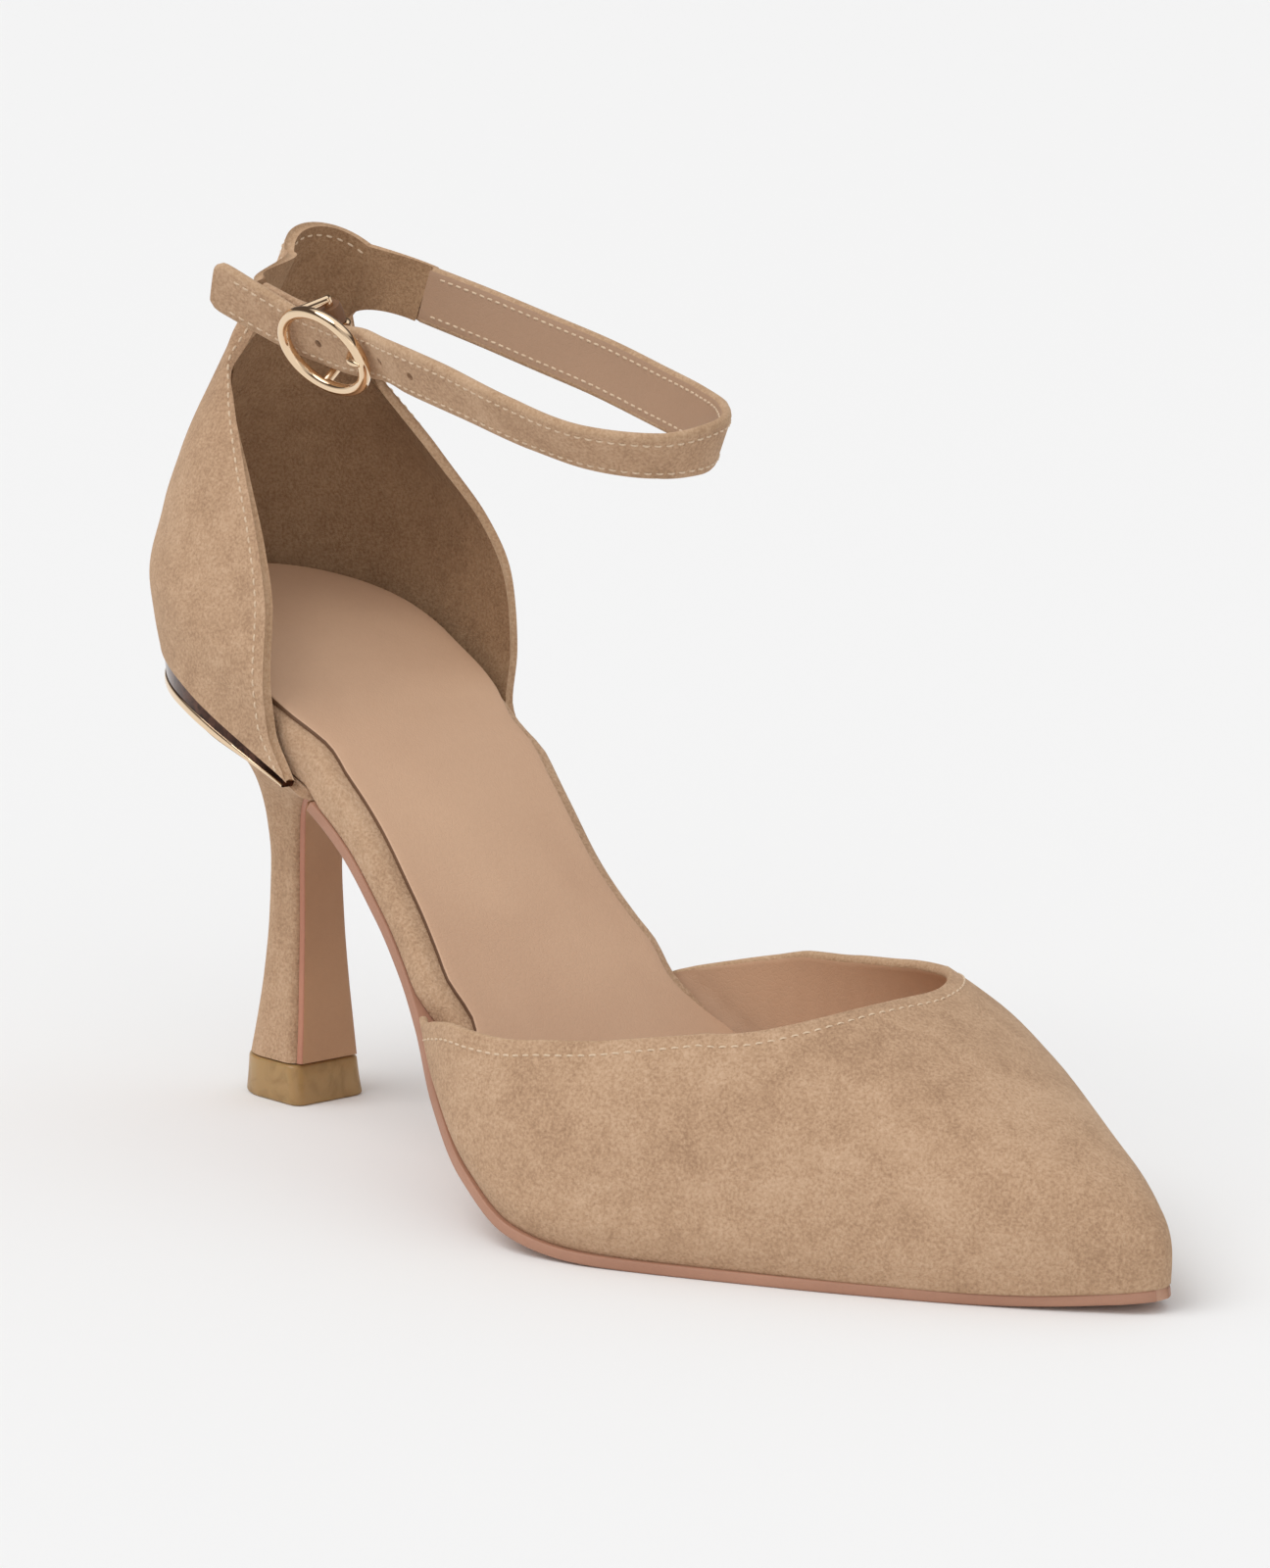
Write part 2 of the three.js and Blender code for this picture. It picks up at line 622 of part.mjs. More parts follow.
const bellyHeight = 5.5;         // height at which the vamp's side is widest
const tuck = 0.32;               // turn of the section below its widest place, radians
const tipFade = 0.93;            // share of shoeLength from which the bulge dies away

function lastSection(share) {
  const crown = column(CROWN, 'crown', share) * instepHeight;
  return {
    crown,
    belly: Math.min(bellyHeight, crown * 0.4),
    fullness: column(CROWN, 'fullness', share),
    lean: column(CROWN, 'lean', share) * ballWidth,
  };
}

// Point of the last at a share of its length and a turn over its section
function lastPoint(share, angle, depth) {
  const x = share * shoeLength;
  const edge = outline(x);
  const fade = smooth(share, tipFade, 1);
  const half = (edge.lateral + edge.medial) / 2 + bulge * Math.sqrt(1 - fade);
  const { crown, belly, fullness, lean } = lastSection(share);
  const inHalf = Math.max(half - depth, half * 0.4);
  const inCrown = Math.max(crown - depth, crown * 0.55);
  const cosine = Math.cos(angle);
  const sine = Math.sin(angle);
  const side = -Math.sign(cosine) * Math.abs(cosine) ** (2 / fullness);
  const up = sine >= 0
    ? belly + (inCrown - belly) * sine ** (2 / fullness)
    : belly * (1 + sine / Math.sin(tuck));
  return vec(
    x - depth * fade,
    (edge.medial - edge.lateral) / 2 + side * inHalf + lean * Math.max(sine, 0),
    bottomHeight(x) + clearance + up,
  );
}

// Turn at which the section reaches a height
function turnAt(share, height) {
  const { crown, belly, fullness } = lastSection(share);
  if (height < belly) return Math.asin(Math.sin(tuck) * (height / belly - 1));
  return Math.asin(clamp((height - belly) / (crown - belly), 0, 1) ** (fullness / 2));
}

const sideColumns = 14;
const noseColumns = 13;
const tipColumns = 4;
const halfColumns = sideColumns + noseColumns + tipColumns;
const vampRows = 10;
const curveStart = TOPLINE[TOPLINE.length - 1].x;
// How far the throat's curve leaves a quarter ellipse on either side
const throatSlant = { lateral: 0.3, medial: 1 };

// Foot and head of one column of the vamp, as places on the last
function vampEnds(index) {
  const lateral = index <= halfColumns;
  const i = lateral ? index : 2 * halfColumns - index;
  const side = lateral ? 'lateral' : 'medial';
  const heightAt = (share) => column(TOPLINE, side, share) * instepHeight;
  const foot = { share: 1, angle: -tuck };
  const head = { share: 1, angle: 0 };
  if (i <= sideColumns) {
    foot.share = lerp(TOPLINE[0].x, curveStart, i / sideColumns);
    head.share = foot.share;
    head.angle = turnAt(head.share, heightAt(head.share));
  } else {
    const t = (i - sideColumns) / noseColumns;
    const quarter = ((i - sideColumns) / (noseColumns + tipColumns)) * (Math.PI / 2);
    const start = turnAt(curveStart, heightAt(curveStart));
    if (t < 1) foot.share = lerp(curveStart, 1, 1 - (1 - t) ** 1.7);
    else foot.angle = lerp(-tuck, Math.PI / 2, (i - sideColumns - noseColumns) / tipColumns);
    head.share = curveStart + (throatAt - curveStart) * Math.sin(quarter);
    const rise = lerp(1 - Math.cos(quarter), quarter / (Math.PI / 2), throatSlant[side]);
    head.angle = start + (Math.PI / 2 - start) * rise;
  }
  if (!lateral) {
    foot.angle = Math.PI - foot.angle;
    head.angle = Math.PI - head.angle;
  }
  return { foot, head };
}

// The two sides' columns share their feet along the nose of the toe
function noseFoot(i, j) {
  const onNose = j === 0 && i > halfColumns && i < halfColumns + tipColumns + 1;
  return onNose ? [2 * halfColumns - i, j] : [i, j];
}

function makeVamp() {
  const surface = (depth) => (i, j) => {
    const { foot, head } = vampEnds(i);
    const fromSides = clamp(Math.min(i, 2 * halfColumns - i) / sideColumns - 1, 0, 1);
    const t = (j / vampRows) ** (1 + 0.7 * fromSides);
    return lastPoint(lerp(foot.share, head.share, t), lerp(foot.angle, head.angle, t), depth);
  };
  return shell(surface(0), surface(upperWall), 2 * halfColumns, vampRows, () => true, noseFoot);
}

// Heel, lift, breast and metal band

// Ring with a round back and a flat front; heightAt gives its height along the shoe
function heelRing({ front, back, half, side }, heightAt) {
  const corner = Math.min(1.6, half * 0.25);
  const long = half * cupRoundness;
  const widest = back + long;
  const end = Math.PI / 2 + (front - corner - widest) / long;
  const count = 22;
  const points = [];
  for (let i = 0; i <= count; i += 1) {
    const turn = (i / count) * 2 - 1;
    const size = Math.abs(turn) * end;
    const curved = size < Math.PI / 2;
    points.push({
      x: curved ? widest - long * Math.cos(size) : widest + long * (size - Math.PI / 2),
      y: Math.sign(turn) * half * (curved ? Math.sin(size) : 1),
    });
  }
  [1, 0, -1].forEach((share) => points.push({ x: front, y: (half - corner) * share }));
  return points.map(({ x, y }) => vec(x, side + y, heightAt(x)));
}

function heelRow(step) {
  const value = (name) => column(HEEL, name, step, 'step');
  return {
    front: value('front') * counterDepth,
    back: value('back') * counterDepth,
    frontHeight: value('frontHeight') * heelRise,
    backHeight: value('backHeight') * heelRise,
    half: value('width') * seatHalf,
    side: value('side') * heelSide,
  };
}

const breastTop = seatFront * shoeLength - breastThickness - 2 * clearance;
const plateReach = 0.985;        // how far round the seat the metal band goes, share
const rimIn = 1.6;               // heel's rim inside the seat's outline
const breastShare = 0.86;        // breast's width over the heel's
const breastRim = 3;             // bare suede beside the breast at its top

// Height and taper of the band at a place along the shoe
function plateAt(x) {
  const back = (1 - smooth(x, 0, breastTop)) ** 0.8;
  return {
    height: lerp(plateTipHeight, plateHeight, back),
    taper: lerp(plateTipTaper, plateTaper, back),
  };
}

function makeHeel() {
  const rings = [];
  const last = HEEL.length - 1;
  for (let step = 0; step <= last; step += 0.5) {
    const row = heelRow(step);
    const length = row.front - row.back;
    rings.push(heelRing(row, (x) => (
      lerp(row.backHeight, row.frontHeight, (x - row.back) / length))));
  }
  const rim = { front: breastTop, back: seatBack + rimIn, half: seatHalf - rimIn, side: 0 };
  const step = plateDepth + plateInset + 2 * clearance;
  const core = {
    front: rim.front - 2 * clearance,
    back: seatBack + step,
    half: seatHalf - step,
    side: 0,
  };
  const underPlate = (x) => bottomHeight(x) - plateAt(x).height - clearance;
  rings.push(heelRing(rim, underPlate));
  rings.push(heelRing(core, underPlate));
  rings.push(heelRing(core, (x) => bottomHeight(x) - clearance));
  return loft(rings);
}

function makeLift() {
  const foot = { ...liftFoot, half: liftFoot.width / 2, side: heelSide * 0.75 };
  const head = { ...liftHead, half: liftHead.width / 2, side: heelSide };
  return loft([heelRing(foot, () => 0), heelRing(head, () => liftHeight)]);
}

// Leather panel over the heel's front face, from the lift up to the sole
function makeBreast() {
  const top = {
    front: breastTop - 3 * clearance,
    frontHeight: bottomHeight(breastTop) - plateTipHeight - clearance,
    half: seatHalf - breastRim,
  };
  const face = (step) => {
    const last = HEEL.length - 1;
    const row = heelRow(Math.min(step, last));
    const past = Math.max(0, step - last);
    return {
      x: lerp(row.front, top.front, past),
      z: lerp(row.frontHeight, top.frontHeight, past),
      half: lerp(row.half * breastShare, top.half, past),
      side: row.side * (1 - past),
    };
  };
  const rings = [];
  for (let step = 0; step <= HEEL.length; step += 0.5) {
    const { x, z, half, side } = face(step);
    const before = face(Math.max(step - 0.1, 0));
    const after = face(Math.min(step + 0.1, HEEL.length));
    const length = Math.hypot(after.x - before.x, after.z - before.z);
    const normal = vec((after.z - before.z) / length, 0, -(after.x - before.x) / length);
    const place = (y, off) => vec(x, side + y, z).addScaledVector(normal, off);
    const outer = clearance + breastThickness;
    rings.push([
      place(-half, clearance), place(-half, outer), place(half, outer), place(half, clearance),
    ]);
  }
  return loft(rings);
}

// Metal band round the seat with a bright lip along its lower edge
function makePlate() {
  const count = 34;
  const rings = [];
  for (let i = 0; i <= count; i += 1) {
    const turn = ((i / count) * 2 - 1) * plateReach;
    const step = 0.003;
    const place = cupPlace(turn, 0);
    const across = cupPlace(turn + step, 0).sub(cupPlace(turn - step, 0));
    const outward = vec(-across.y, across.x, 0).normalize();
    const { height, taper } = plateAt(place.x);
    const lip = Math.min(lipHeight, height * 0.4);
    const rows = [
      { out: -plateInset, down: clearance },
      { out: -taper - lipOut, down: height - lip },
      { out: -taper, down: height - lip * 0.85 },
      { out: -taper, down: height },
      { out: -plateDepth, down: height },
      { out: -plateDepth - plateInset, down: clearance },
    ];
    rings.push(rows.map(({ out, down }) => {
      const at = vec(place.x, place.y, 0).addScaledVector(outward, out);
      return vec(at.x, at.y, bottomHeight(at.x) - down);
    }));
  }
  return loft(rings);
}

// Ankle strap, billet and buckle

function strapStops() {
  const loop = ROUTE.map((row) => ({
    point: vec(
      seam.x + row.x * strapReach,
      row.y * strapSpread,
      seam.height - row.drop * strapDrop,
    ),
    lean: row.lean,
  }));
  const sideReach = buckleLength / 2 - buckleWire / 2;
  const through = [
    { point: inBuckle(-sideReach, 0, -0.3), lean: buckle.lean },
    { point: inBuckle(-1.5, strapDip, -1.1), lean: buckle.lean },
    { point: inBuckle(barBehind, strapDip, -0.5), lean: buckle.lean },
    { point: inBuckle(sideReach, 0, 0.9), lean: buckle.lean },
  ];
  const end = { point: inBuckle(tail.length, tail.drift, tail.rise), lean: tail.lean };
  return [...loop, ...through, end];
}

// Frames along a row of stops, so many between each two
function framesAlong(stops, between) {
  const points = stops.map((stop) => stop.point);
  const curve = new THREE.CatmullRomCurve3(points, false, 'centripetal');
  const count = between * (stops.length - 1);
  return Array.from({ length: count + 1 }, (_, i) => {
    const t = i / count;
    const before = Math.min(Math.floor(i / between), stops.length - 2);
    const lean = lerp(stops[before].lean, stops[before + 1].lean, i / between - before);
    return frame(curve.getPoint(t), curve.getTangent(t), lean);
  });
}

// Flat band along frames; shapeAt gives the share of its width that a frame has
function band(frames, width, thickness, shapeAt = () => 1) {
  return loft(frames.map((at, i) => {
    const half = (width / 2) * shapeAt(i / (frames.length - 1));
    const edge = half - thickness * 0.2;
    const thick = thickness / 2;
    return [
      inFrame(at, 0, thick, -edge), inFrame(at, 0, thick, edge), inFrame(at, 0, 0, half),
      inFrame(at, 0, -thick, edge), inFrame(at, 0, -thick, -edge), inFrame(at, 0, 0, -half),
    ];
  }));
}

// Round wire along points that lie in the buckle's frame; an oval's rings start at its outside
function wire(points, thickness, closed = false, sides = 8) {
  const last = points.length - 1;
  return loft(points.map((point, i) => {
    const before = points[i > 0 ? i - 1 : (closed ? last : 0)];
    const after = points[i < last ? i + 1 : (closed ? 0 : last)];
    const ahead = after.clone().sub(before).normalize();
    const straightUp = Math.abs(ahead.dot(buckleFrame.up)) > 0.9;
    const open = straightUp ? buckleFrame.along : buckleFrame.up;
    const base = closed ? buckleFrame.out : open;
    const first = base.clone().addScaledVector(ahead, -ahead.dot(base)).normalize();
    const second = ahead.clone().cross(first);
    return Array.from({ length: sides }, (_, k) => {
      const turn = (k / sides) * 2 * Math.PI;
      return point.clone().addScaledVector(first, (Math.cos(turn) * thickness) / 2)
        .addScaledVector(second, (Math.sin(turn) * thickness) / 2);
    });
  }), closed);
}

const ringBow = 0.3;             // how far the ring's sides bow out past its ends
const ringTilt = degToRad(6);       // turn of the oval in its own plane, its toe end up
const ringDepth = strapThickness / 2 + 2 * clearance + buckleWire / 2;

function ringPoint(turn) {
  const bow = ringBow * Math.cos(turn) ** 2;
  const along = Math.cos(turn) * (buckleLength - buckleWire) / 2;
  const up = Math.sin(turn) * (buckleWidth - buckleWire) / 2;
  return inBuckle(
    along * Math.cos(ringTilt) + up * Math.sin(ringTilt),
    ringDepth + bow - ringBow / 2,
    up * Math.cos(ringTilt) - along * Math.sin(ringTilt),
  );
}

// The prong's centre line: round the bar, forward under the strap, up through its hole
function prongPath() {
  const loop = [];
  for (let turn = 250; turn > 0; turn -= 25) {
    const angle = degToRad(turn);
    loop.push([barBehind + prongLoop * Math.sin(angle), barDepth + prongLoop * Math.cos(angle)]);
  }
  const under = barDepth + prongLoop;
  const rest = ringDepth + ringBow / 2 + buckleWire / 2 - clearance / 3;
  const leg = [
    [barBehind, under],
    [0, under],
    [prongWire * 1.3 - prongHole, under],
    [prongWire * 0.6 - prongHole, under * 0.7],
    [-prongHole, 0],
    [-prongHole - prongWire * 0.8, rest * 0.5],
    [-prongHole - prongWire * 1.7, rest * 0.85],
    [-(buckleLength - prongWire) / 2, rest],
  ];
  return [...loop, ...leg].map(([along, out]) => inBuckle(along, out));
}

function makeRing() {
  const count = 40;
  const oval = Array.from({ length: count }, (_, i) => ringPoint((i / count) * 2 * Math.PI));
  const turn = Math.acos(barBehind / ((buckleLength - buckleWire) / 2));
  const reach = Math.sin(turn) * (buckleWidth - buckleWire) / 2;
  const head = ringDepth - ringBow / 2;
  const end = billetWidth / 2 + clearance + barWire / 2;
  const post = (side) => wire([
    inBuckle(barBehind, head, side * reach),
    inBuckle(barBehind, barDepth, side * end),
  ], barWire);
  const bar = wire([
    inBuckle(barBehind, barDepth, -end - barWire / 3),
    inBuckle(barBehind, barDepth, end + barWire / 3),
  ], barWire);
  const notch = wire(prongPath().slice(-4), prongWire + 2 * clearance);
  return fromManifold(toManifold(wire(oval, buckleWire, true))
    .add(toManifold(post(1)))
    .add(toManifold(post(-1)))
    .add(toManifold(bar))
    .subtract(toManifold(notch)));
}

function makeProng() {
  return wire(prongPath(), prongWire);
}

function makeStrap() {
  const frames = framesAlong(strapStops(), 4);
  const tapered = (t) => (t > 0.999 ? 0.85 : 1);
  let solid = toManifold(band(frames, strapWidth, strapThickness, tapered));
  [1, -1, -2].forEach((number) => {
    const along = holeSpacing * number - prongHole;
    const off = (at) => Math.abs(at.centre.clone().sub(buckleFrame.centre)
      .dot(buckleFrame.along) - along);
    const at = frames.filter((each) => each.centre.y < buckle.y / 2)
      .reduce((best, each) => (off(each) < off(best) ? each : best));
    const hole = wire([inFrame(at, 0, -3, 0), inFrame(at, 0, 3, 0)], holeWidth);
    solid = solid.subtract(toManifold(hole));
  });
  const path = prongPath().slice(-7, -1);
  return fromManifold(solid.subtract(toManifold(wire(path, prongWire + 2 * clearance))));
}

function makeBillet() {
  const stops = [
    { point: inBuckle(barBehind + eyeRadius * 0.65, barDepth + clearance), lean: buckle.lean },
    { point: inBuckle(barBehind + eyeRadius * 3, barDepth + billetWall), lean: buckle.lean },
    {
      point: inBuckle(billetEnd.along, billetEnd.out, billetEnd.up),
      lean: billetEnd.lean,
    },
  ];
  const end = billetWidth / 2;
  const eye = wire([inBuckle(barBehind, barDepth, -end), inBuckle(barBehind, barDepth, end)],
    2 * eyeRadius, false, 14);
  const bore = wire([
    inBuckle(barBehind, barDepth, -end - 1),
    inBuckle(barBehind, barDepth, end + 1),
  ], barWire + 2 * clearance, false, 14);
  const reach = prongLoop + prongWire / 2 + clearance;
  const slotSide = prongWire / 2 + clearance;
  const slotEnd = (along) => [[-1, -1], [-1, 1], [1, 1], [1, -1]].map(([out, up]) => (
    inBuckle(along, barDepth + out * reach, up * slotSide)));
  const slot = loft([slotEnd(barBehind - reach), slotEnd(barBehind + reach)]);
  return fromManifold(toManifold(band(framesAlong(stops, 6), billetWidth, strapThickness))
    .add(toManifold(eye))
    .subtract(toManifold(bore))
    .subtract(toManifold(slot)));
}

// Assembly

const MAKERS = [
  ['outsole', makeOutsole, FINISH.soleLeather],
  ['footbed', makeFootbed, FINISH.suede],
  ['sock_lining', makeSock, FINISH.leather],
  ['vamp', makeVamp, FINISH.suede],
  ['counter', makeCounter, FINISH.suede],
  ['heel_block', makeHeel, FINISH.suede],
  ['heel_breast', makeBreast, FINISH.soleLeather],
  ['top_lift', makeLift, FINISH.rubber],
  ['heel_plate', makePlate, FINISH.gold],
  ['ankle_strap', makeStrap, FINISH.suede],
  ['buckle_billet', makeBillet, FINISH.suede],
  ['buckle_ring', makeRing, FINISH.gold],
  ['buckle_prong', makeProng, FINISH.gold],
];

const shoe = new THREE.Group();
shoe.name = 'ankle_strap_pump';
for (const [name, make, finish] of MAKERS) {
  const material = new THREE.MeshStandardMaterial(finish);
  material.name = name;
  const mesh = new THREE.Mesh(make(), material);
  mesh.name = name;
  shoe.add(mesh);
}

// The footprint is centred on the origin and the tread stands on the floor
const bounds = new THREE.Box3().setFromObject(shoe);
const centre = bounds.getCenter(vec(0, 0, 0));
shoe.children.forEach((mesh) => mesh.geometry.translate(-centre.x, -centre.y, -bounds.min.z));

export default shoe;
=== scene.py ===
"""Visual model of the ankle strap pump, a right shoe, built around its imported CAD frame.

Every form is worked out in millimetres in the heel frame: x starts at the back of the heel cup
and runs to the toe, y runs to the inner (medial) side of the foot and z up from the floor.
"""

import logging
import math
from dataclasses import dataclass, field
from enum import Enum
from typing import Callable, Optional, Sequence, Union

import bpy
import numpy as np
from mathutils import Matrix, Vector

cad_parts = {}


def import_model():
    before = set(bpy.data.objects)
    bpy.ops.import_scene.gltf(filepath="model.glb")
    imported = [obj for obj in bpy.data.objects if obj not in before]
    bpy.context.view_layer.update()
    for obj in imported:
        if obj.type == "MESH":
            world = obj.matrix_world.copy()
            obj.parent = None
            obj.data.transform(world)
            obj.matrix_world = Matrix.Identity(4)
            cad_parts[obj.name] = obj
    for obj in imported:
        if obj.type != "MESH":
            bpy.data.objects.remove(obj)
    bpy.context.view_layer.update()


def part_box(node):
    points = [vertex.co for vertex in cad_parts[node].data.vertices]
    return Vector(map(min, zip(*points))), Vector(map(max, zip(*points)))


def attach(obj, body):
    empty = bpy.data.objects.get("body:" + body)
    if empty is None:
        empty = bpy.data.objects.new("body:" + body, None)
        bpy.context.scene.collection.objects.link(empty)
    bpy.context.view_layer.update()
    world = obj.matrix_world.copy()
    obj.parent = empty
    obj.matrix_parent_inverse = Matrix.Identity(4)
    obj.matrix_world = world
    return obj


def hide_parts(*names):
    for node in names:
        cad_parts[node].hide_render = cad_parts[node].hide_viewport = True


MM = 0.001
ROOT = "root"
LOG = logging.getLogger("pump")

Values = Union[float, np.ndarray]
Place = Union[Sequence[float], np.ndarray]
Profile = list[tuple[np.ndarray, np.ndarray]]
Tone = tuple[int, int, int]
Input = Union[float, Sequence[float], bpy.types.NodeSocket]

# Sizes that the solids share
SHOE_LENGTH = 222.0
HEEL_RISE = 82.0
BALL_WIDTH = 86.0
INSTEP_HEIGHT = 62.0
TOE_SPRING = 2.0
SEAT_WIDTH = 54.4
COUNTER_DEPTH = 53.0
COUNTER_HEIGHT = 70.0
UPPER_WALL = 1.8
OUTSOLE = 1.9
FOOTBED = 4.6
SEAT_PAD = 9.5
FOREFOOT_BOARD = 2.6
SOCK = 0.9
SOCK_RIM = 3.6
SOCK_GAP = 0.6
SOCK_FADE = 14.0
FOOTBED_EDGE = 0.4
FOOTBED_SLACK = 0.2
WALL_FADE = 6.5
BOARD_FADE = 31.0
SEAT_PAD_START = 29.0
SEAT_PAD_END = 82.0
TOE_ROOM = 7.5
CLEARANCE = 0.3
BREAST = 1.0
STRAP_WIDTH = 10.0
STRAP_THICKNESS = 1.8
BUCKLE_LENGTH = 22.0
BUCKLE_WIDTH = 17.4
BUCKLE_WIRE = 2.1
BAR_WIRE = 1.6
PRONG_WIRE = 1.4
TIP_CENTRE = 0.0975
CUP_ROUNDNESS = 1.12
SPRING_START = 0.874
SEAT_FRONT = 0.268
SEAT_BACK = 0.038 * COUNTER_DEPTH
HEEL_SIDE = 1.0
# Front, back and width of the top lift at the floor
LIFT_FOOT = (33.8, 14.3, 16.0)
# The lift stands this share of HEEL_SIDE to the medial side at the floor
LIFT_SIDE = 0.75
THROAT_AT = 0.762


class Table:
    """Rows of listed values along one key, joined by smooth curves without overshoot."""

    def __init__(self, names: str, rows: Sequence[Sequence[float]]) -> None:
        """Keeps the rows.

        Args:
            names: Column names with spaces between them, the key first.
            rows: One sequence of numbers for each row.
        """
        self.names = names.split()
        self.rows = np.array(rows, dtype=float)

    def value(self, name: str, at: np.ndarray) -> np.ndarray:
        """Returns a column's value at each place along the key.

        Args:
            name: The column's name.
            at: Places along the key.

        Returns:
            The values, in the shape of at.
        """
        keys = self.rows[:, 0]
        values = self.rows[:, self.names.index(name)]
        rate = np.diff(values) / np.diff(keys)
        slope = np.zeros_like(values)
        slope[0], slope[-1] = rate[0], rate[-1]
        same = rate[:-1] * rate[1:] > 0
        total = np.where(same, rate[:-1] + rate[1:], 1.0)
        slope[1:-1] = np.where(same, 2 * rate[:-1] * rate[1:] / total, 0.0)
        where = np.clip(at, keys[0], keys[-1])
        row = np.clip(np.searchsorted(keys, where, side="right") - 1, 0, len(keys) - 2)
        span = keys[row + 1] - keys[row]
        t = (where - keys[row]) / span
        start, end = values[row], values[row + 1]
        leave, arrive = slope[row] * span, slope[row + 1] * span
        return (
            start
            + t * leave
            + t**2 * (3 * (end - start) - 2 * leave - arrive)
            + t**3 * (leave + arrive - 2 * (end - start))
        )


RISE = Table("x rise", [
    (0.000, 1.006), (0.054, 0.966), (0.108, 0.917), (0.162, 0.847), (0.216, 0.783),
    (0.243, 0.751), (0.270, 0.709), (0.306, 0.633), (0.351, 0.516), (0.387, 0.424),
    (0.423, 0.336), (0.477, 0.212), (0.532, 0.107), (0.586, 0.032), (0.640, 0.004),
    (0.694, 0.000), (1.000, 0.000),
])
OUTLINE = Table("x lateral medial", [
    (0.146, 0.316, 0.316), (0.216, 0.314, 0.314), (0.243, 0.309, 0.306),
    (0.270, 0.300, 0.290), (0.306, 0.295, 0.273), (0.351, 0.304, 0.264),
    (0.387, 0.326, 0.272), (0.423, 0.364, 0.300), (0.477, 0.440, 0.349),
    (0.532, 0.495, 0.395), (0.586, 0.514, 0.436), (0.640, 0.484, 0.469),
    (0.694, 0.423, 0.484), (0.748, 0.353, 0.474), (0.802, 0.280, 0.431),
    (0.856, 0.200, 0.361), (0.910, 0.112, 0.277), (0.946, 0.047, 0.216),
    (0.973, -0.009, 0.170),
])
CROWN = Table("x crown fullness lean", [
    (0.405, 1.180, 2.00, 0.02), (0.480, 1.060, 2.05, 0.03), (0.560, 0.930, 2.10, 0.05),
    (0.640, 0.800, 2.15, 0.05), (0.700, 0.715, 2.20, 0.04), (0.752, 0.640, 2.20, 0.03),
    (0.802, 0.555, 2.20, 0.02), (0.856, 0.462, 2.20, 0.01), (0.910, 0.365, 2.35, 0.00),
    (0.950, 0.285, 2.45, 0.00), (0.978, 0.205, 2.45, 0.00), (0.993, 0.140, 2.40, 0.00),
    (1.000, 0.090, 2.40, 0.00),
])
TOPLINE = Table("x lateral medial", [
    (0.428, 0.020, 0.015), (0.448, 0.085, 0.100), (0.472, 0.180, 0.195),
    (0.505, 0.290, 0.315), (0.540, 0.370, 0.425), (0.595, 0.475, 0.535),
    (0.650, 0.526, 0.590), (0.694, 0.555, 0.610),
])
LEVELS = Table("rise back width front front_rise side round", [
    (0.000, 0.038, 1.000, 1.038, 0.000, 0.000, 1.00),
    (0.085, 0.008, 1.020, 0.955, 0.085, 0.002, 1.00),
    (0.190, -0.008, 1.060, 0.945, 0.207, 0.010, 1.00),
    (0.324, 0.012, 1.025, 0.905, 0.372, 0.036, 1.00),
    (0.465, 0.080, 0.955, 0.806, 0.491, 0.046, 0.96),
    (0.606, 0.178, 0.815, 0.668, 0.600, 0.036, 0.89),
    (0.732, 0.270, 0.650, 0.510, 0.695, 0.036, 0.67),
    (0.831, 0.340, 0.535, 0.432, 0.757, 0.044, 0.36),
    (0.887, 0.372, 0.430, 0.430, 0.850, 0.068, 0.38),
    (1.000, 0.432, 0.420, 0.519, 1.062, 0.090, 0.75),
])
HEEL = Table("step front back front_height back_height width side", [
    (0, 0.594, 0.283, 0.089, 0.089, 0.276, 1.00),
    (1, 0.587, 0.311, 0.171, 0.171, 0.250, 1.00),
    (2, 0.577, 0.338, 0.268, 0.268, 0.224, 1.00),
    (3, 0.568, 0.358, 0.390, 0.390, 0.199, 1.00),
    (4, 0.562, 0.364, 0.512, 0.512, 0.188, 1.00),
    (5, 0.581, 0.353, 0.622, 0.598, 0.213, 0.90),
    (6, 0.632, 0.332, 0.665, 0.682, 0.280, 0.75),
    (7, 0.736, 0.288, 0.695, 0.770, 0.420, 0.50),
    (8, 0.868, 0.215, 0.713, 0.842, 0.610, 0.25),
    (9, 1.000, 0.130, 0.723, 0.898, 0.800, 0.10),
])
ROUTE = Table("x y drop lean", [
    (0.000, 0.385, 0.00, 8), (0.158, 0.410, 0.17, 12), (0.320, 0.425, 0.35, 13),
    (0.483, 0.425, 0.52, 13), (0.646, 0.395, 0.70, 12), (0.797, 0.310, 0.82, 12),
    (0.924, 0.159, 0.89, 12), (1.000, -0.049, 0.95, 25), (0.988, -0.280, 1.00, 42),
    (0.878, -0.451, 0.95, 42), (0.727, -0.507, 0.79, 35), (0.553, -0.527, 0.57, 30),
    (0.402, -0.527, 0.41, 29),
])
STRAP_REACH = 89.2
STRAP_SPREAD = 41.0
STRAP_DROP = 18.0
SEAM = (41.2, 142.3)
BUCKLE_AT = (58.8, -19.8, 137.2)
BUCKLE_LEAN = 30.0
BUCKLE_FALL = 5.0
TAIL = (25.5, 1.6, 8.4)
TAIL_LEAN = 24.0
BAR_BEHIND = 3.6
PRONG_HOLE = 5.0

SEAT_HALF = SEAT_WIDTH / 2
SEAT_LONG = SEAT_HALF * CUP_ROUNDNESS
SEAT_WIDEST = SEAT_BACK + SEAT_LONG
SEAT_STATIONS = 0.22
COUNTER_FRONT = LEVELS.rows[0, 3] * COUNTER_DEPTH
VAMP_START = TOPLINE.rows[0, 0] * SHOE_LENGTH
BREAST_TOP = SEAT_FRONT * SHOE_LENGTH - BREAST - 2 * CLEARANCE
NOSE_SPREAD = 1.7
NORMAL_STEP = 0.004


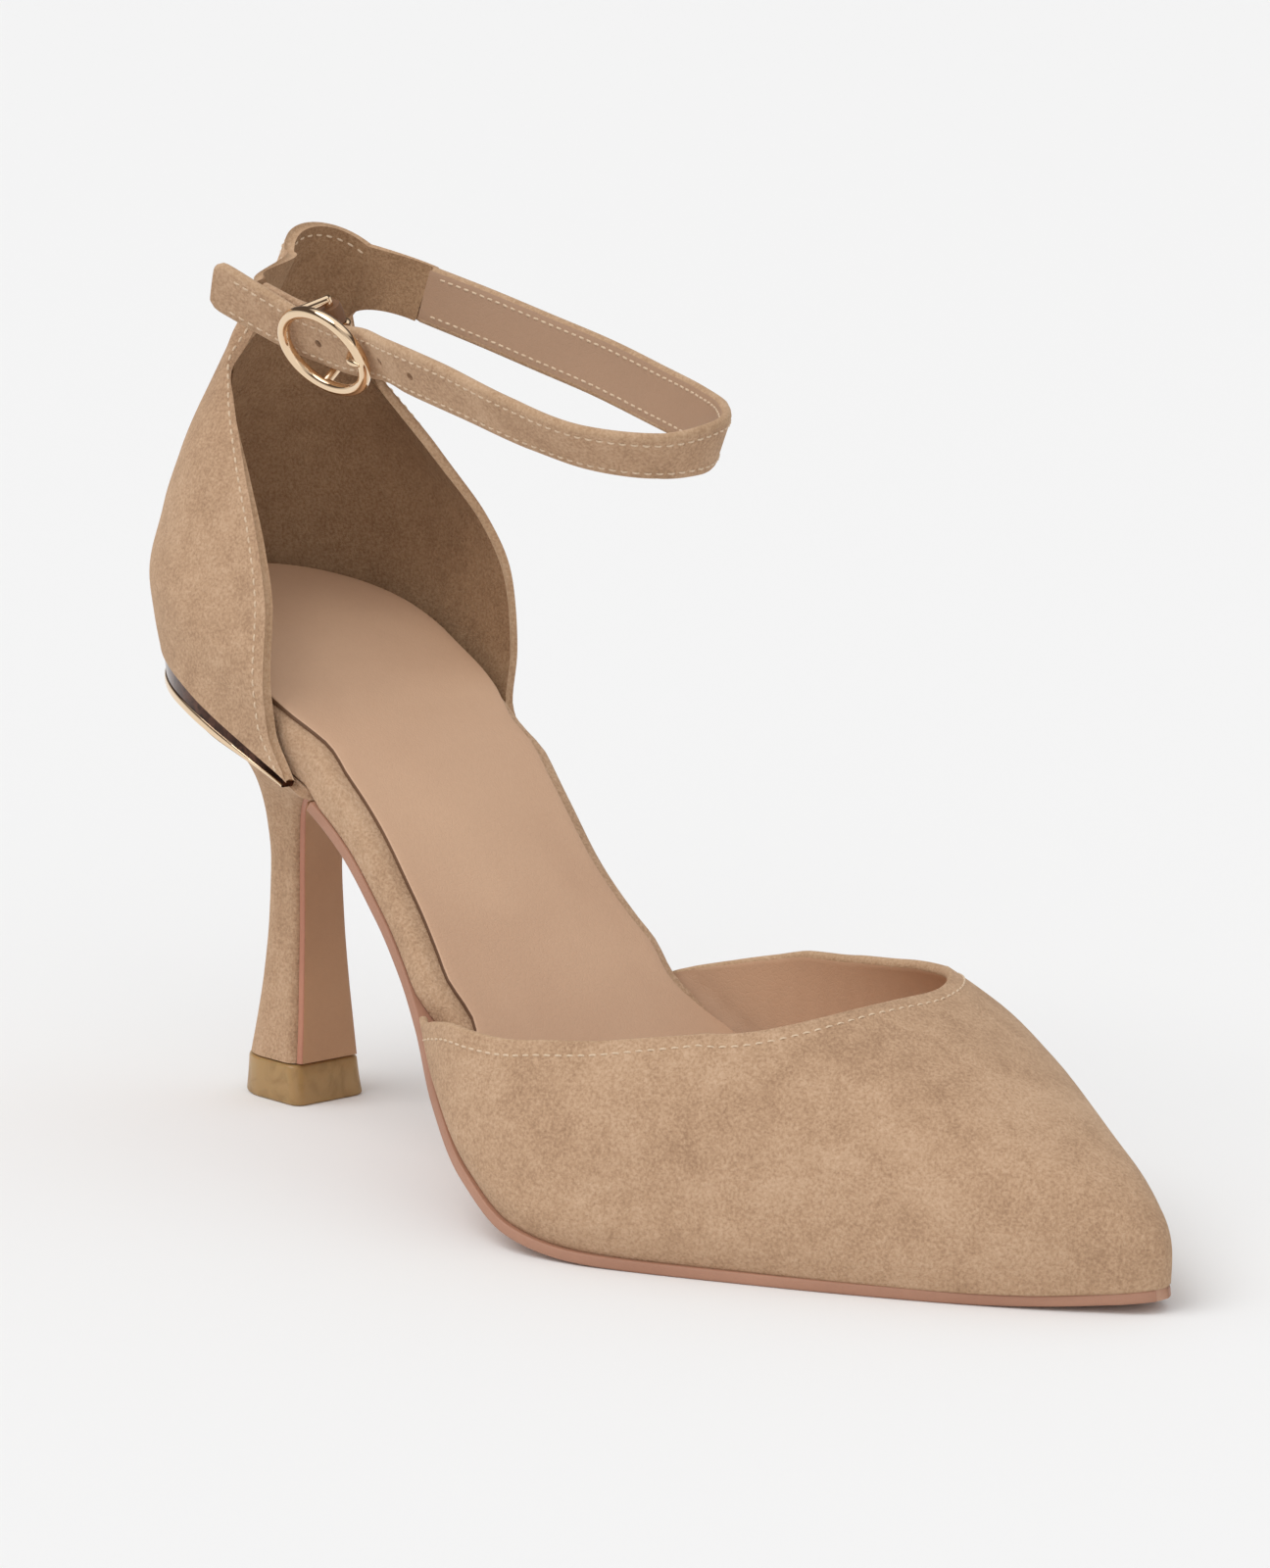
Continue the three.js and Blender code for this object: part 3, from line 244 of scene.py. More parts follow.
def lerp(a: Values, b: Values, t: Values) -> Values:
    """Returns the value a share t of the way from a to b.

    Args:
        a: The value at 0.
        b: The value at 1.
        t: The share.

    Returns:
        The value between them.
    """
    return a + (b - a) * t


def smooth(x: Values, low: float, high: float) -> np.ndarray:
    """Returns 0 below low and 1 above high, with a soft step between them.

    Args:
        x: Where it is read.
        low: Where the step starts.
        high: Where it ends.

    Returns:
        Values from 0 to 1.
    """
    t = np.clip((np.asarray(x, dtype=float) - low) / (high - low), 0, 1)
    return t * t * (3 - 2 * t)


def unit(v: np.ndarray) -> np.ndarray:
    """Returns vectors of length one along v's last axis.

    Args:
        v: The vectors.

    Returns:
        The vectors at length one.
    """
    length = np.linalg.norm(v, axis=-1, keepdims=True)
    return v / np.where(length == 0, 1, length)


def points(x: Values, y: Values, z: Values) -> np.ndarray:
    """Returns an array of points from coordinates of matching shapes."""
    return np.stack(np.broadcast_arrays(x, y, z), axis=-1).astype(float)


def bottom_height(x: np.ndarray) -> np.ndarray:
    """Returns the height of the outsole's top at places along the shoe.

    Args:
        x: Places along the shoe, in the heel frame.

    Returns:
        Heights above the floor.
    """
    share = np.asarray(x, dtype=float) / SHOE_LENGTH
    past = np.maximum(0, (share - SPRING_START) / (1 - SPRING_START))
    return OUTSOLE + RISE.value("rise", share) * HEEL_RISE + TOE_SPRING * past**2


def off_bottom(x: np.ndarray, y: Values, off: Values) -> np.ndarray:
    """Returns points a distance off the bottom line, along the line's own normal.

    Args:
        x: Places along the shoe, in the heel frame.
        y: Places across it.
        off: Distances off the bottom line.

    Returns:
        The points.
    """
    step = 0.5
    slope = (bottom_height(x + step) - bottom_height(x - step)) / (2 * step)
    length = np.hypot(slope, 1)
    return points(x - slope / length * off, y, bottom_height(x) + off / length)


def outline(x: np.ndarray) -> tuple[np.ndarray, np.ndarray]:
    """Returns the distances of the outline from the axis, lateral and medial.

    Args:
        x: Places along the shoe, in the heel frame.

    Returns:
        The lateral and the medial distances.
    """
    share = x / SHOE_LENGTH
    round_half = SEAT_HALF * np.sqrt(np.maximum(0, 1 - ((SEAT_WIDEST - x) / SEAT_LONG) ** 2))
    lateral = OUTLINE.value("lateral", share) * BALL_WIDTH
    medial = OUTLINE.value("medial", share) * BALL_WIDTH
    tip_start = OUTLINE.rows[-1, 0]
    past = np.clip((share - tip_start) / (1 - tip_start), 0, 1)
    half = (lateral + medial) / 2 * np.sqrt(1 - past)
    centre = lerp((medial - lateral) / 2, TIP_CENTRE * BALL_WIDTH, past)
    in_seat = x < SEAT_WIDEST
    sides = (half - centre, half + centre)
    return tuple(np.where(in_seat, round_half, side) for side in sides)


def station_x(station: np.ndarray) -> np.ndarray:
    """Returns places along the shoe for stations from 0, the seat's back, to 1, the toe tip.

    Args:
        station: The stations.

    Returns:
        Places along the shoe.
    """
    back = SEAT_WIDEST - SEAT_LONG * np.cos(station / SEAT_STATIONS * (math.pi / 2))
    t = np.clip((station - SEAT_STATIONS) / (1 - SEAT_STATIONS), 0, 1)
    front = lerp(SEAT_WIDEST, SHOE_LENGTH, 1 - (1 - t) ** NOSE_SPREAD)
    return np.where(station < SEAT_STATIONS, back, front)


def stations_between(start: float, end: float, count: int) -> np.ndarray:
    """Returns stations whose places run from one place along the shoe to another.

    Args:
        start: Where they start, along the shoe.
        end: Where they end.
        count: How many there are.

    Returns:
        The stations.
    """
    fine = np.linspace(0, 1, 6000)
    ends = np.interp([start, end], station_x(fine), fine)
    return np.linspace(ends[0], ends[1], count)


def edge_point(station: np.ndarray, side: int, inset: np.ndarray) -> np.ndarray:
    """Returns points (x, y) of the outline, moved inwards at right angles to it.

    Args:
        station: The stations.
        side: -1 for the lateral side and 1 for the medial.
        inset: How far each point moves in.

    Returns:
        The points, without heights.
    """

    def place(at: np.ndarray) -> np.ndarray:
        """Returns points of the outline itself."""
        x = station_x(np.clip(at, 0, 1))
        lateral, medial = outline(x)
        return np.stack([x, np.where(side < 0, -lateral, medial)], axis=-1)

    along = unit(place(station + NORMAL_STEP) - place(station - NORMAL_STEP))
    inward = np.stack([along[..., 1] * side, -along[..., 0] * side], axis=-1)
    return place(station) + inward * np.asarray(inset)[..., None]


def plank(
    stations: np.ndarray,
    profile: Sequence[tuple[np.ndarray, np.ndarray]],
    across: int,
    dish: Optional[Callable[[np.ndarray], np.ndarray]] = None,
) -> np.ndarray:
    """Returns rings of points across the bottom of the shoe.

    Args:
        stations: Stations of the rings.
        profile: The ring's side from its lowest point to its highest, as (inset, height off
            the bottom line) pairs of arrays along the stations.
        across: How many points lie between the two sides, above and below.
        dish: Height that the top gains at shares from 0 to 1 of its width.

    Returns:
        An array of rings, points and coordinates.
    """
    sides = []
    for side in (-1, 1):
        rows = [(edge_point(stations, side, inset), off) for inset, off in profile]
        sides.append(rows)
    ring = list(sides[0])
    shares = np.linspace(0, 1, across + 2)[1:-1]
    low, high = sides[0][-1], sides[1][-1]
    for share in shares:
        lift = dish(share) if dish else 0.0
        ring.append((lerp(low[0], high[0], share), lerp(low[1], high[1], share) + lift))
    ring += sides[1][::-1]
    low, high = sides[1][0], sides[0][0]
    for share in shares:
        ring.append((lerp(low[0], high[0], share), lerp(low[1], high[1], share)))
    return np.stack([off_bottom(xy[..., 0], xy[..., 1], off) for xy, off in ring], axis=1)


def footbed_inset(x: np.ndarray) -> np.ndarray:
    """Returns how far the footbed's side stands back from the outline.

    Args:
        x: Places along the shoe, in the heel frame.

    Returns:
        The distances.
    """
    in_counter = 1 - smooth(x, COUNTER_FRONT + CLEARANCE, COUNTER_FRONT + WALL_FADE)
    in_vamp = smooth(x, VAMP_START - WALL_FADE, VAMP_START + CLEARANCE)
    wall = UPPER_WALL + FOOTBED_SLACK
    return FOOTBED_EDGE + in_counter * wall + in_vamp * (wall + BULGE)


def footbed_thick(x: np.ndarray) -> np.ndarray:
    """Returns the footbed's thickness along the shoe.

    Args:
        x: Places along the shoe, in the heel frame.

    Returns:
        The thicknesses.
    """
    seat = 1 - smooth(x, SEAT_PAD_START, SEAT_PAD_END)
    front = smooth(x, VAMP_START - WALL_FADE, VAMP_START + BOARD_FADE)
    return FOOTBED + seat * (SEAT_PAD - FOOTBED) + front * (FOREFOOT_BOARD - FOOTBED)


def cup_place(turn: np.ndarray, level: np.ndarray) -> np.ndarray:
    """Returns points of the counter's outside at a turn round the cup and a level.

    Args:
        turn: Turns from -1, lateral front, to 1, medial front.
        level: Levels from 0, the feather line, to 1, the top.

    Returns:
        The points.
    """
    half = LEVELS.value("width", level) * SEAT_HALF
    long = half * CUP_ROUNDNESS * LEVELS.value("round", level)
    back = LEVELS.value("back", level) * COUNTER_DEPTH
    front = LEVELS.value("front", level) * COUNTER_DEPTH
    widest = back + long
    short = front < widest
    end = np.where(
        short,
        np.arccos(np.clip((widest - front) / long, -1, 1)),
        math.pi / 2 + (front - widest) / long,
    )
    size = np.abs(turn * end)
    curved = size < math.pi / 2
    x = np.where(curved, widest - long * np.cos(size), widest + long * (size - math.pi / 2))
    y = np.sign(turn) * half * np.where(curved, np.sin(size), 1)
    back_lift = level * COUNTER_HEIGHT + bottom_height(SEAT_BACK) - bottom_height(back)
    front_lift = LEVELS.value("front_rise", level) * COUNTER_HEIGHT
    lift = lerp(back_lift, front_lift, (x - back) / (front - back))
    side = LEVELS.value("side", level) * SEAT_WIDTH
    return points(x, side + y, bottom_height(x) + lift + CLEARANCE)


def cup_point(turn: Values, level: Values, depth: Values) -> np.ndarray:
    """Returns points of the counter a depth inside its outer face.

    Args:
        turn: Turns round the cup, from -1 to 1.
        level: Levels, from 0 to 1.
        depth: Depths inside the outer face.

    Returns:
        The points.
    """
    turn, level = np.broadcast_arrays(np.asarray(turn, float), np.asarray(level, float))
    step = NORMAL_STEP
    across = cup_place(turn + step, level) - cup_place(turn - step, level)
    lower, higher = np.maximum(level - step, 0), np.minimum(level + step, 1)
    up = cup_place(turn, higher) - cup_place(turn, lower)
    return cup_place(turn, level) + unit(np.cross(across, up)) * np.asarray(depth)[..., None]


def hermite(
    start: np.ndarray, leave: np.ndarray, end: np.ndarray, arrive: np.ndarray, t: Values
) -> np.ndarray:
    """Returns points of a cubic curve at shares t of its way.

    Args:
        start: Where the curve starts.
        leave: The way in which it starts.
        end: Where it ends.
        arrive: The way in which it ends.
        t: The shares.

    Returns:
        The points.
    """
    t = np.asarray(t)[..., None]
    s = 1 - t
    return (
        start * s**2 * (1 + 2 * t) + leave * t * s**2
        + end * t**2 * (1 + 2 * s) - arrive * t**2 * s
    )


@dataclass
class Frames:
    """A row of frames with their centres and their length, outward and width directions."""

    centre: np.ndarray
    along: np.ndarray
    out: np.ndarray
    up: np.ndarray

    @classmethod
    def lean(cls, centre: Place, along: Place, lean: Values) -> "Frames":
        """Returns frames whose width leans outwards at its top by an angle in degrees.

        Args:
            centre: Their centres.
            along: The ways that they run.
            lean: The angles.

        Returns:
            The frames.
        """
        centre, along = np.atleast_2d(centre).astype(float), unit(np.atleast_2d(along))
        up = unit(np.array([0.0, 0.0, 1.0]) - along * along[:, 2:3])
        out = unit(np.cross(up, along))
        turn = np.radians(np.atleast_1d(lean))[:, None]
        return cls(
            centre, along,
            out * np.cos(turn) - up * np.sin(turn),
            up * np.cos(turn) + out * np.sin(turn),
        )

    def column(self, value: Values) -> np.ndarray:
        """Returns a value, or one for each frame, as a column."""
        return np.broadcast_to(np.asarray(value, float), (len(self.centre),))[:, None]

    def at(self, along: Values = 0.0, out: Values = 0.0, up: Values = 0.0) -> np.ndarray:
        """Returns one point in each frame."""
        return (
            self.centre + self.along * self.column(along)
            + self.out * self.column(out) + self.up * self.column(up)
        )


FALL = math.radians(BUCKLE_FALL)
BUCKLE = Frames.lean(BUCKLE_AT, (-math.cos(FALL), 0, math.sin(FALL)), BUCKLE_LEAN)


def in_buckle(along: float, out: float, up: float = 0.0) -> np.ndarray:
    """Returns a point in the buckle's frame, which runs back towards the strap's tail."""
    return BUCKLE.at(along, out, up)[0]


STRAP_DIP = -0.3
RING_BOW = 0.3
RING_TILT = math.radians(6)
PRONG_LOOP = BAR_WIRE / 2 + CLEARANCE + PRONG_WIRE / 2
BAR_DEPTH = STRAP_DIP - STRAP_THICKNESS / 2 - CLEARANCE - PRONG_WIRE / 2 - PRONG_LOOP
BILLET_WALL = 0.9
EYE_RADIUS = BAR_WIRE / 2 + CLEARANCE + BILLET_WALL
BILLET_WIDTH = STRAP_WIDTH - 1.4
BILLET_END = (21.0, -3.8, 1.2)
BILLET_LEAN = 22.0
SEAM_GAP = 0.1
MEDIAL_SEAM = Frames.lean(
    (SEAM[0] - SEAM_GAP, ROUTE.rows[0, 1] * STRAP_SPREAD, SEAM[1]),
    (1, 0.16, -0.3),
    ROUTE.rows[0, 3],
)
LATERAL_SEAM = Frames.lean(
    in_buckle(BILLET_END[0] + SEAM_GAP, *BILLET_END[1:]), (-1, 0.22, 0.16), BILLET_LEAN
)
ARM_LEVEL = 0.887


def arm_point(side: int, t: np.ndarray, level: np.ndarray, depth: float) -> np.ndarray:
    """Returns points of a collar arm, from the cup's front edge to the seam.

    Args:
        side: -1 for the lateral arm and 1 for the medial.
        t: Shares of the way from the cup to the seam.
        level: Levels between the arm's lower edge and its top.
        depth: How far inside the outer face.

    Returns:
        The points.
    """
    at = MEDIAL_SEAM if side > 0 else LATERAL_SEAM
    forward = at.along[0] * (1 if side > 0 else -1)
    half = STRAP_WIDTH / 2
    top = cup_point(side, 1.0, depth)
    foot = cup_point(side, ARM_LEVEL, depth)
    reach = np.linalg.norm(top - at.centre[0]) * 0.8
    out = STRAP_THICKNESS / 2 - depth
    low = hermite(
        foot, np.array([reach * 0.55, 0, reach * 0.75]), at.at(0, out, -half)[0], forward * reach, t
    )
    high = hermite(
        top, np.array([reach, side * reach * 0.1, -reach * 0.15]),
        at.at(0, out, half)[0], forward * reach, t,
    )
    share = np.clip((level - ARM_LEVEL) / (1 - ARM_LEVEL), 0, 1)[..., None]
    return lerp(low, high, share)


# The vamp over the last: its widest height, how far it stands out past the bottom's outline,
# its turn below the widest place, and the share of the length where the bulge starts to fade
BELLY = 5.5
BULGE = 1.0
TUCK = 0.32
TIP_FADE = 0.93
SIDE_COLUMNS = 14
NOSE_COLUMNS = 13
TIP_COLUMNS = 4
HALF_COLUMNS = SIDE_COLUMNS + NOSE_COLUMNS + TIP_COLUMNS
CURVE_START = TOPLINE.rows[-1, 0]
# How far the throat leaves a quarter ellipse, lateral and medial
THROAT_SLANT = (0.3, 1.0)
CREASE_RADIUS = 32.0

# Soft troughs and ridges of the vamp: place along the shoe and turn over the section of the
# middle, the way it runs, half length, half width and depth in millimetres
CREASES = [
    (0.742, 1.05, -0.55, 26, 5.0, 0.34), (0.790, 1.75, 0.35, 22, 6.0, 0.26),
    (0.668, 0.42, 0.20, 30, 6.5, -0.30), (0.835, 0.95, -0.25, 24, 5.5, -0.22),
    (0.610, 0.30, 1.10, 18, 5.0, 0.26), (0.880, 1.35, 0.10, 20, 4.5, 0.20),
    (0.560, 2.60, -0.90, 20, 6.0, 0.30), (0.700, 2.45, 0.40, 26, 7.0, -0.28),
]


def last_section(share: np.ndarray) -> tuple[np.ndarray, ...]:
    """Returns the crown, widest height, fullness and lean of the last's section.

    Args:
        share: Shares of the shoe's length.

    Returns:
        The four values, each in the shape of share.
    """
    crown = CROWN.value("crown", share) * INSTEP_HEIGHT
    return (
        crown,
        np.minimum(BELLY, crown * 0.4),
        CROWN.value("fullness", share),
        CROWN.value("lean", share) * BALL_WIDTH,
    )


def last_point(share: np.ndarray, angle: np.ndarray, depth: float) -> np.ndarray:
    """Returns points of the last at a share of its length and a turn over its section.

    Args:
        share: Shares of the shoe's length.
        angle: Turns over the section, from the lateral side.
        depth: How far inside the surface.

    Returns:
        The points.
    """
    x = share * SHOE_LENGTH
    lateral, medial = outline(x)
    fade = smooth(share, TIP_FADE, 1)
    half = (lateral + medial) / 2 + BULGE * np.sqrt(1 - fade)
    crown, belly, fullness, lean = last_section(share)
    in_half = np.maximum(half - depth, half * 0.4)
    in_crown = np.maximum(crown - depth, crown * 0.55)
    cosine, sine = np.cos(angle), np.sin(angle)
    side = -np.sign(cosine) * np.abs(cosine) ** (2 / fullness)
    up = np.where(
        sine >= 0,
        belly + (in_crown - belly) * np.abs(sine) ** (2 / fullness),
        belly * (1 + sine / math.sin(TUCK)),
    )
    return points(
        x - depth * fade,
        (medial - lateral) / 2 + side * in_half + lean * np.maximum(sine, 0),
        bottom_height(x) + CLEARANCE + up,
    )


def turn_at(share: np.ndarray, height: np.ndarray) -> np.ndarray:
    """Returns the turn at which the last's section reaches a height.

    Args:
        share: Shares of the shoe's length.
        height: Heights above the feather line.

    Returns:
        The turns, from the lateral side.
    """
    crown, belly, fullness, _ = last_section(share)
    low = np.arcsin(np.clip(math.sin(TUCK) * (height / belly - 1), -1, 1))
    high = np.arcsin(np.clip((height - belly) / (crown - belly), 0, 1) ** (fullness / 2))
    return np.where(height < belly, low, high)


def vamp_ends(index: np.ndarray) -> tuple[np.ndarray, ...]:
    """Returns the share and turn of the foot and the head of the vamp's columns.

    Args:
        index: Numbers of the columns, from the lateral side's back.

    Returns:
        The foot's share and turn, and the head's share and turn.
    """
    is_lateral = index <= HALF_COLUMNS
    i = np.where(is_lateral, index, 2 * HALF_COLUMNS - index)

    def height(share: Values) -> np.ndarray:
        """Returns the topline's height above the feather line."""
        lateral, medial = (TOPLINE.value(side, share) for side in ("lateral", "medial"))
        return INSTEP_HEIGHT * np.where(is_lateral, lateral, medial)

    def flip(angle: np.ndarray) -> np.ndarray:
        """Returns turns with those of the medial columns counted from the other side."""
        return np.where(is_lateral, angle, math.pi - angle)

    on_side = i <= SIDE_COLUMNS
    side_share = lerp(TOPLINE.rows[0, 0], CURVE_START, i / SIDE_COLUMNS)
    t = np.clip((i - SIDE_COLUMNS) / NOSE_COLUMNS, 0, 1)
    quarter = np.clip((i - SIDE_COLUMNS) / (NOSE_COLUMNS + TIP_COLUMNS), 0, 1) * (math.pi / 2)
    nose_share = lerp(CURVE_START, 1, 1 - (1 - t) ** NOSE_SPREAD)
    foot_share = np.where(on_side, side_share, nose_share)
    past = np.clip((i - SIDE_COLUMNS - NOSE_COLUMNS) / TIP_COLUMNS, 0, 1)
    foot_angle = np.where(on_side, -TUCK, lerp(-TUCK, math.pi / 2, past))
    start = turn_at(np.full_like(i, CURVE_START), height(CURVE_START))
    slant = np.where(is_lateral, *THROAT_SLANT)
    rise = lerp(1 - np.cos(quarter), quarter / (math.pi / 2), slant)
    curve_share = CURVE_START + (THROAT_AT - CURVE_START) * np.sin(quarter)
    head_share = np.where(on_side, side_share, curve_share)
    head_angle = np.where(
        on_side, turn_at(side_share, height(side_share)), start + (math.pi / 2 - start) * rise
    )
    return foot_share, flip(foot_angle), head_share, flip(head_angle)


def crease_depth(share: np.ndarray, angle: np.ndarray) -> np.ndarray:
    """Returns how far the vamp's creases press its surface in, in millimetres.

    Args:
        share: Shares of the shoe's length.
        angle: Turns over the section.

    Returns:
        The depths.
    """
    depth = np.zeros_like(share)
    for at, turn, way, long, wide, deep in CREASES:
        along = (share - at) * SHOE_LENGTH
        over = (angle - turn) * CREASE_RADIUS
        u = along * math.cos(way) + over * math.sin(way)
        v = -along * math.sin(way) + over * math.cos(way)
        depth += deep * np.exp(-((u / long) ** 2) - (v / wide) ** 2)
    return depth


# Meshes


@dataclass
class Sheet:
    """Vertices and faces of one piece in millimetres, with a finish number for each face."""

    vertices: np.ndarray
    faces: list
    finish: list = field(default_factory=list)

    def join(self, other: "Sheet") -> "Sheet":
        """Returns this sheet and another as one.

        Args:
            other: The other sheet.

        Returns:
            The joined sheet.
        """
        shift = len(self.vertices)
        faces = self.faces + [tuple(int(v) + shift for v in face) for face in other.faces]
        mine = self.finish or [0] * len(self.faces)
        theirs = other.finish or [0] * len(other.faces)
        return Sheet(np.vstack([self.vertices, other.vertices]), faces, mine + theirs)


def loft(
    grid: np.ndarray,
    closed: bool = False,
    finish: Optional[Callable[[int, int], int]] = None,
) -> Sheet:
    """Returns a closed sheet through rings of points.

    Args:
        grid: Rings, points and coordinates.
        closed: True if the last ring joins the first, and False if both ends are capped.
        finish: Gives the finish number of the face at a ring and a point.

    Returns:
        The sheet.
    """
    rings, count = grid.shape[:2]
    faces, numbers = [], []
    for i in range(rings if closed else rings - 1):
        here, there = i * count, (i + 1) % rings * count
        for j in range(count):
            k = (j + 1) % count
            faces.append((here + j, here + k, there + k, there + j))
            numbers.append(finish(i, j) if finish else 0)
    if not closed:
        faces.append(tuple(reversed(range(count))))
        faces.append(tuple(range((rings - 1) * count, rings * count)))
        numbers += [numbers[0], numbers[-1]]
    return Sheet(grid.reshape(-1, 3), faces, numbers)


def shell(
    outer: np.ndarray,
    inner: np.ndarray,
    present: np.ndarray,
    ids: Optional[np.ndarray] = None,
    roundness: float = 0.6,
) -> Sheet:
    """Returns a wall between two grids with rounded edges.

    Faces outside have finish 0, faces inside finish 1 and the edges finish 2.

    Args:
        outer: The outer grid of points.
        inner: The inner grid of points.
        present: Which cells the wall has.
        ids: Numbers of the grid's places, equal where two places are one.
        roundness: How far the edge stands out, as a share of half the wall.

    Returns:
        The sheet.
    """
    rows, cols = outer.shape[:2]
    if ids is None:
        ids = np.arange(rows * cols).reshape(rows, cols)
    flat_out, flat_in = outer.reshape(-1, 3), inner.reshape(-1, 3)
    corners = np.stack([ids[:-1, :-1], ids[1:, :-1], ids[1:, 1:], ids[:-1, 1:]], axis=-1)
    cells = corners[present]
    used = np.unique(cells)
    number = np.full(rows * cols, -1)
    number[used] = np.arange(len(used))
    cells = number[cells]
    base_out, base_in = flat_out[used], flat_in[used]
    count = len(used)
    faces = [tuple(map(int, cell)) for cell in cells]
    finish = [0] * len(faces)
    faces += [tuple(int(v) + count for v in reversed(cell)) for cell in cells]
    finish += [1] * len(cells)
    edges = {}
    for cell in cells:
        for n in range(4):
            a, b = int(cell[n]), int(cell[(n + 1) % 4])
            if a == b:
                continue
            if (b, a) in edges:
                del edges[(b, a)]
            else:
                edges[(a, b)] = True
    wall = base_out - base_in
    push = np.zeros_like(base_out)
    for a, b in edges:
        along = base_out[b] - base_out[a]
        outward = np.cross(along, wall[a] + wall[b])
        outward /= np.linalg.norm(outward) or 1.0
        push[a] += outward
        push[b] += outward
    push = unit(push)
    steps = (0.25, 0.5, 0.75)
    extra, place = [], {}
    for a, b in edges:
        for v in (a, b):
            if v not in place:
                place[v] = 2 * count + len(extra)
                middle = (base_out[v] + base_in[v]) / 2
                half = wall[v] / 2
                radius = np.linalg.norm(half) * roundness
                for step in steps:
                    turn = step * math.pi
                    extra.append(middle + half * math.cos(turn) + push[v] * radius * math.sin(turn))
    for a, b in edges:
        left = [a, *(place[a] + n for n in range(3)), a + count]
        right = [b, *(place[b] + n for n in range(3)), b + count]
        for n in range(4):
            faces.append((right[n], left[n], left[n + 1], right[n + 1]))
            finish.append(2)
    vertices = np.vstack([base_out, base_in, np.array(extra)])
    return Sheet(vertices, faces, finish)


def wire(
    path: np.ndarray, thickness: Values, closed: bool = False, sides: int = 16
) -> np.ndarray:
    """Returns rings of a round wire along points, for loft.

    Args:
        path: Points of the wire's middle.
        thickness: Its diameter, or one for each point.
        closed: True if its last point joins its first.
        sides: How many sides its section has.

    Returns:
        The rings.
    """
    path = np.asarray(path, float)
    if closed:
        ahead = unit(np.roll(path, -1, axis=0) - np.roll(path, 1, axis=0))
    else:
        ahead = unit(np.gradient(path, axis=0))
    up, along = BUCKLE.up[0], BUCKLE.along[0]
    base = BUCKLE.out[0] if closed else np.where(np.abs(ahead @ up)[:, None] > 0.9, along, up)
    first = unit(base - ahead * np.sum(base * ahead, axis=1, keepdims=True))
    second = np.cross(ahead, first)
    turn = np.linspace(0, 2 * math.pi, sides, endpoint=False)
    radius = np.broadcast_to(np.asarray(thickness, float) / 2, (len(path),))[:, None, None]
    return (
        path[:, None]
        + first[:, None] * np.cos(turn)[None, :, None] * radius
        + second[:, None] * np.sin(turn)[None, :, None] * radius
    )


def catmull(stops: np.ndarray, count: int) -> np.ndarray:
    """Returns points of the centripetal curve through stops, so many between each two.

    Args:
        stops: The stops.
        count: How many points there are from one to the next.

    Returns:
        The points.
    """
    stops = np.asarray(stops, float)
    before = 2 * stops[0] - stops[1]
    after = 2 * stops[-1] - stops[-2]
    row = np.vstack([before, stops, after])
    result = []
    for n in range(1, len(row) - 2):
        p0, p1, p2, p3 = row[n - 1 : n + 3]
        pairs = ((p0, p1), (p1, p2), (p2, p3))
        d0, d1, d2 = (max(np.linalg.norm(b - a) ** 0.5, 1e-4) for a, b in pairs)
        leave = ((p1 - p0) / d0 - (p2 - p0) / (d0 + d1) + (p2 - p1) / d1) * d1
        arrive = ((p2 - p1) / d1 - (p3 - p1) / (d1 + d2) + (p3 - p2) / d2) * d1
        t = np.arange(count) / count
        result.append(hermite(p1, leave, p2, arrive, t))
    return np.vstack([*result, stops[-1:]])


def frames_along(stops: Sequence[tuple[np.ndarray, float]], between: int) -> Frames:
    """Returns frames along stops, each a point and a lean in degrees.

    Args:
        stops: The points with their leans.
        between: How many frames there are from one stop to the next.

    Returns:
        The frames.
    """
    path = catmull(np.array([point for point, _ in stops]), between)
    leans = np.array([lean for _, lean in stops], dtype=float)
    shares = np.arange(len(path)) / between
    lean = np.interp(shares, np.arange(len(stops)), leans)
    return Frames.lean(path, np.gradient(path, axis=0), lean)


def band(frames: Frames, width: Values, thickness: float, around: int = 5) -> np.ndarray:
    """Returns rings of a flat band with rounded edges, its outer face first.

    Args:
        frames: The frames that it follows.
        width: Its width, or one for each frame.
        thickness: Its thickness.
        around: How finely its edges are rounded.

    Returns:
        The rings.
    """
    half = np.broadcast_to(np.asarray(width, float) / 2, (len(frames.centre),))
    thick = thickness / 2
    soft, rim, puff = thick * 0.8, thick * 0.9, 0.10
    ring = []
    for face in (1, -1):
        for share in np.linspace(-1, 1, 9) * face:
            out = thick * (1 - puff * abs(share) ** 3)
            ring.append(frames.at(0, face * out, share * (half - soft)))
        for turn in np.linspace(0, math.pi, around)[1:-1]:
            side = half - soft * (1 - math.sin(turn))
            ring.append(frames.at(0, face * rim * math.cos(turn), face * side))
    return np.stack(ring, axis=1)


def resample(path: np.ndarray, normals: np.ndarray, pitch: float) -> tuple[np.ndarray, ...]:
    """Returns points, directions and normals at an even pitch along a path.

    Args:
        path: The points.
        normals: The surface's normals there.
        pitch: The distance from one point to the next.

    Returns:
        Points, directions and normals.
    """
    length = np.concatenate([[0], np.cumsum(np.linalg.norm(np.diff(path, axis=0), axis=1))])
    count = max(2, int(length[-1] / pitch))
    at = (np.arange(count) + 0.5) * length[-1] / count

    def pick(rows: np.ndarray, where: np.ndarray) -> np.ndarray:
        """Returns rows at lengths along the path."""
        return np.stack([np.interp(where, length, rows[:, n]) for n in range(3)], axis=1)

    ahead = unit(pick(path, at + 0.4) - pick(path, at - 0.4))
    return pick(path, at), ahead, unit(pick(normals, at))


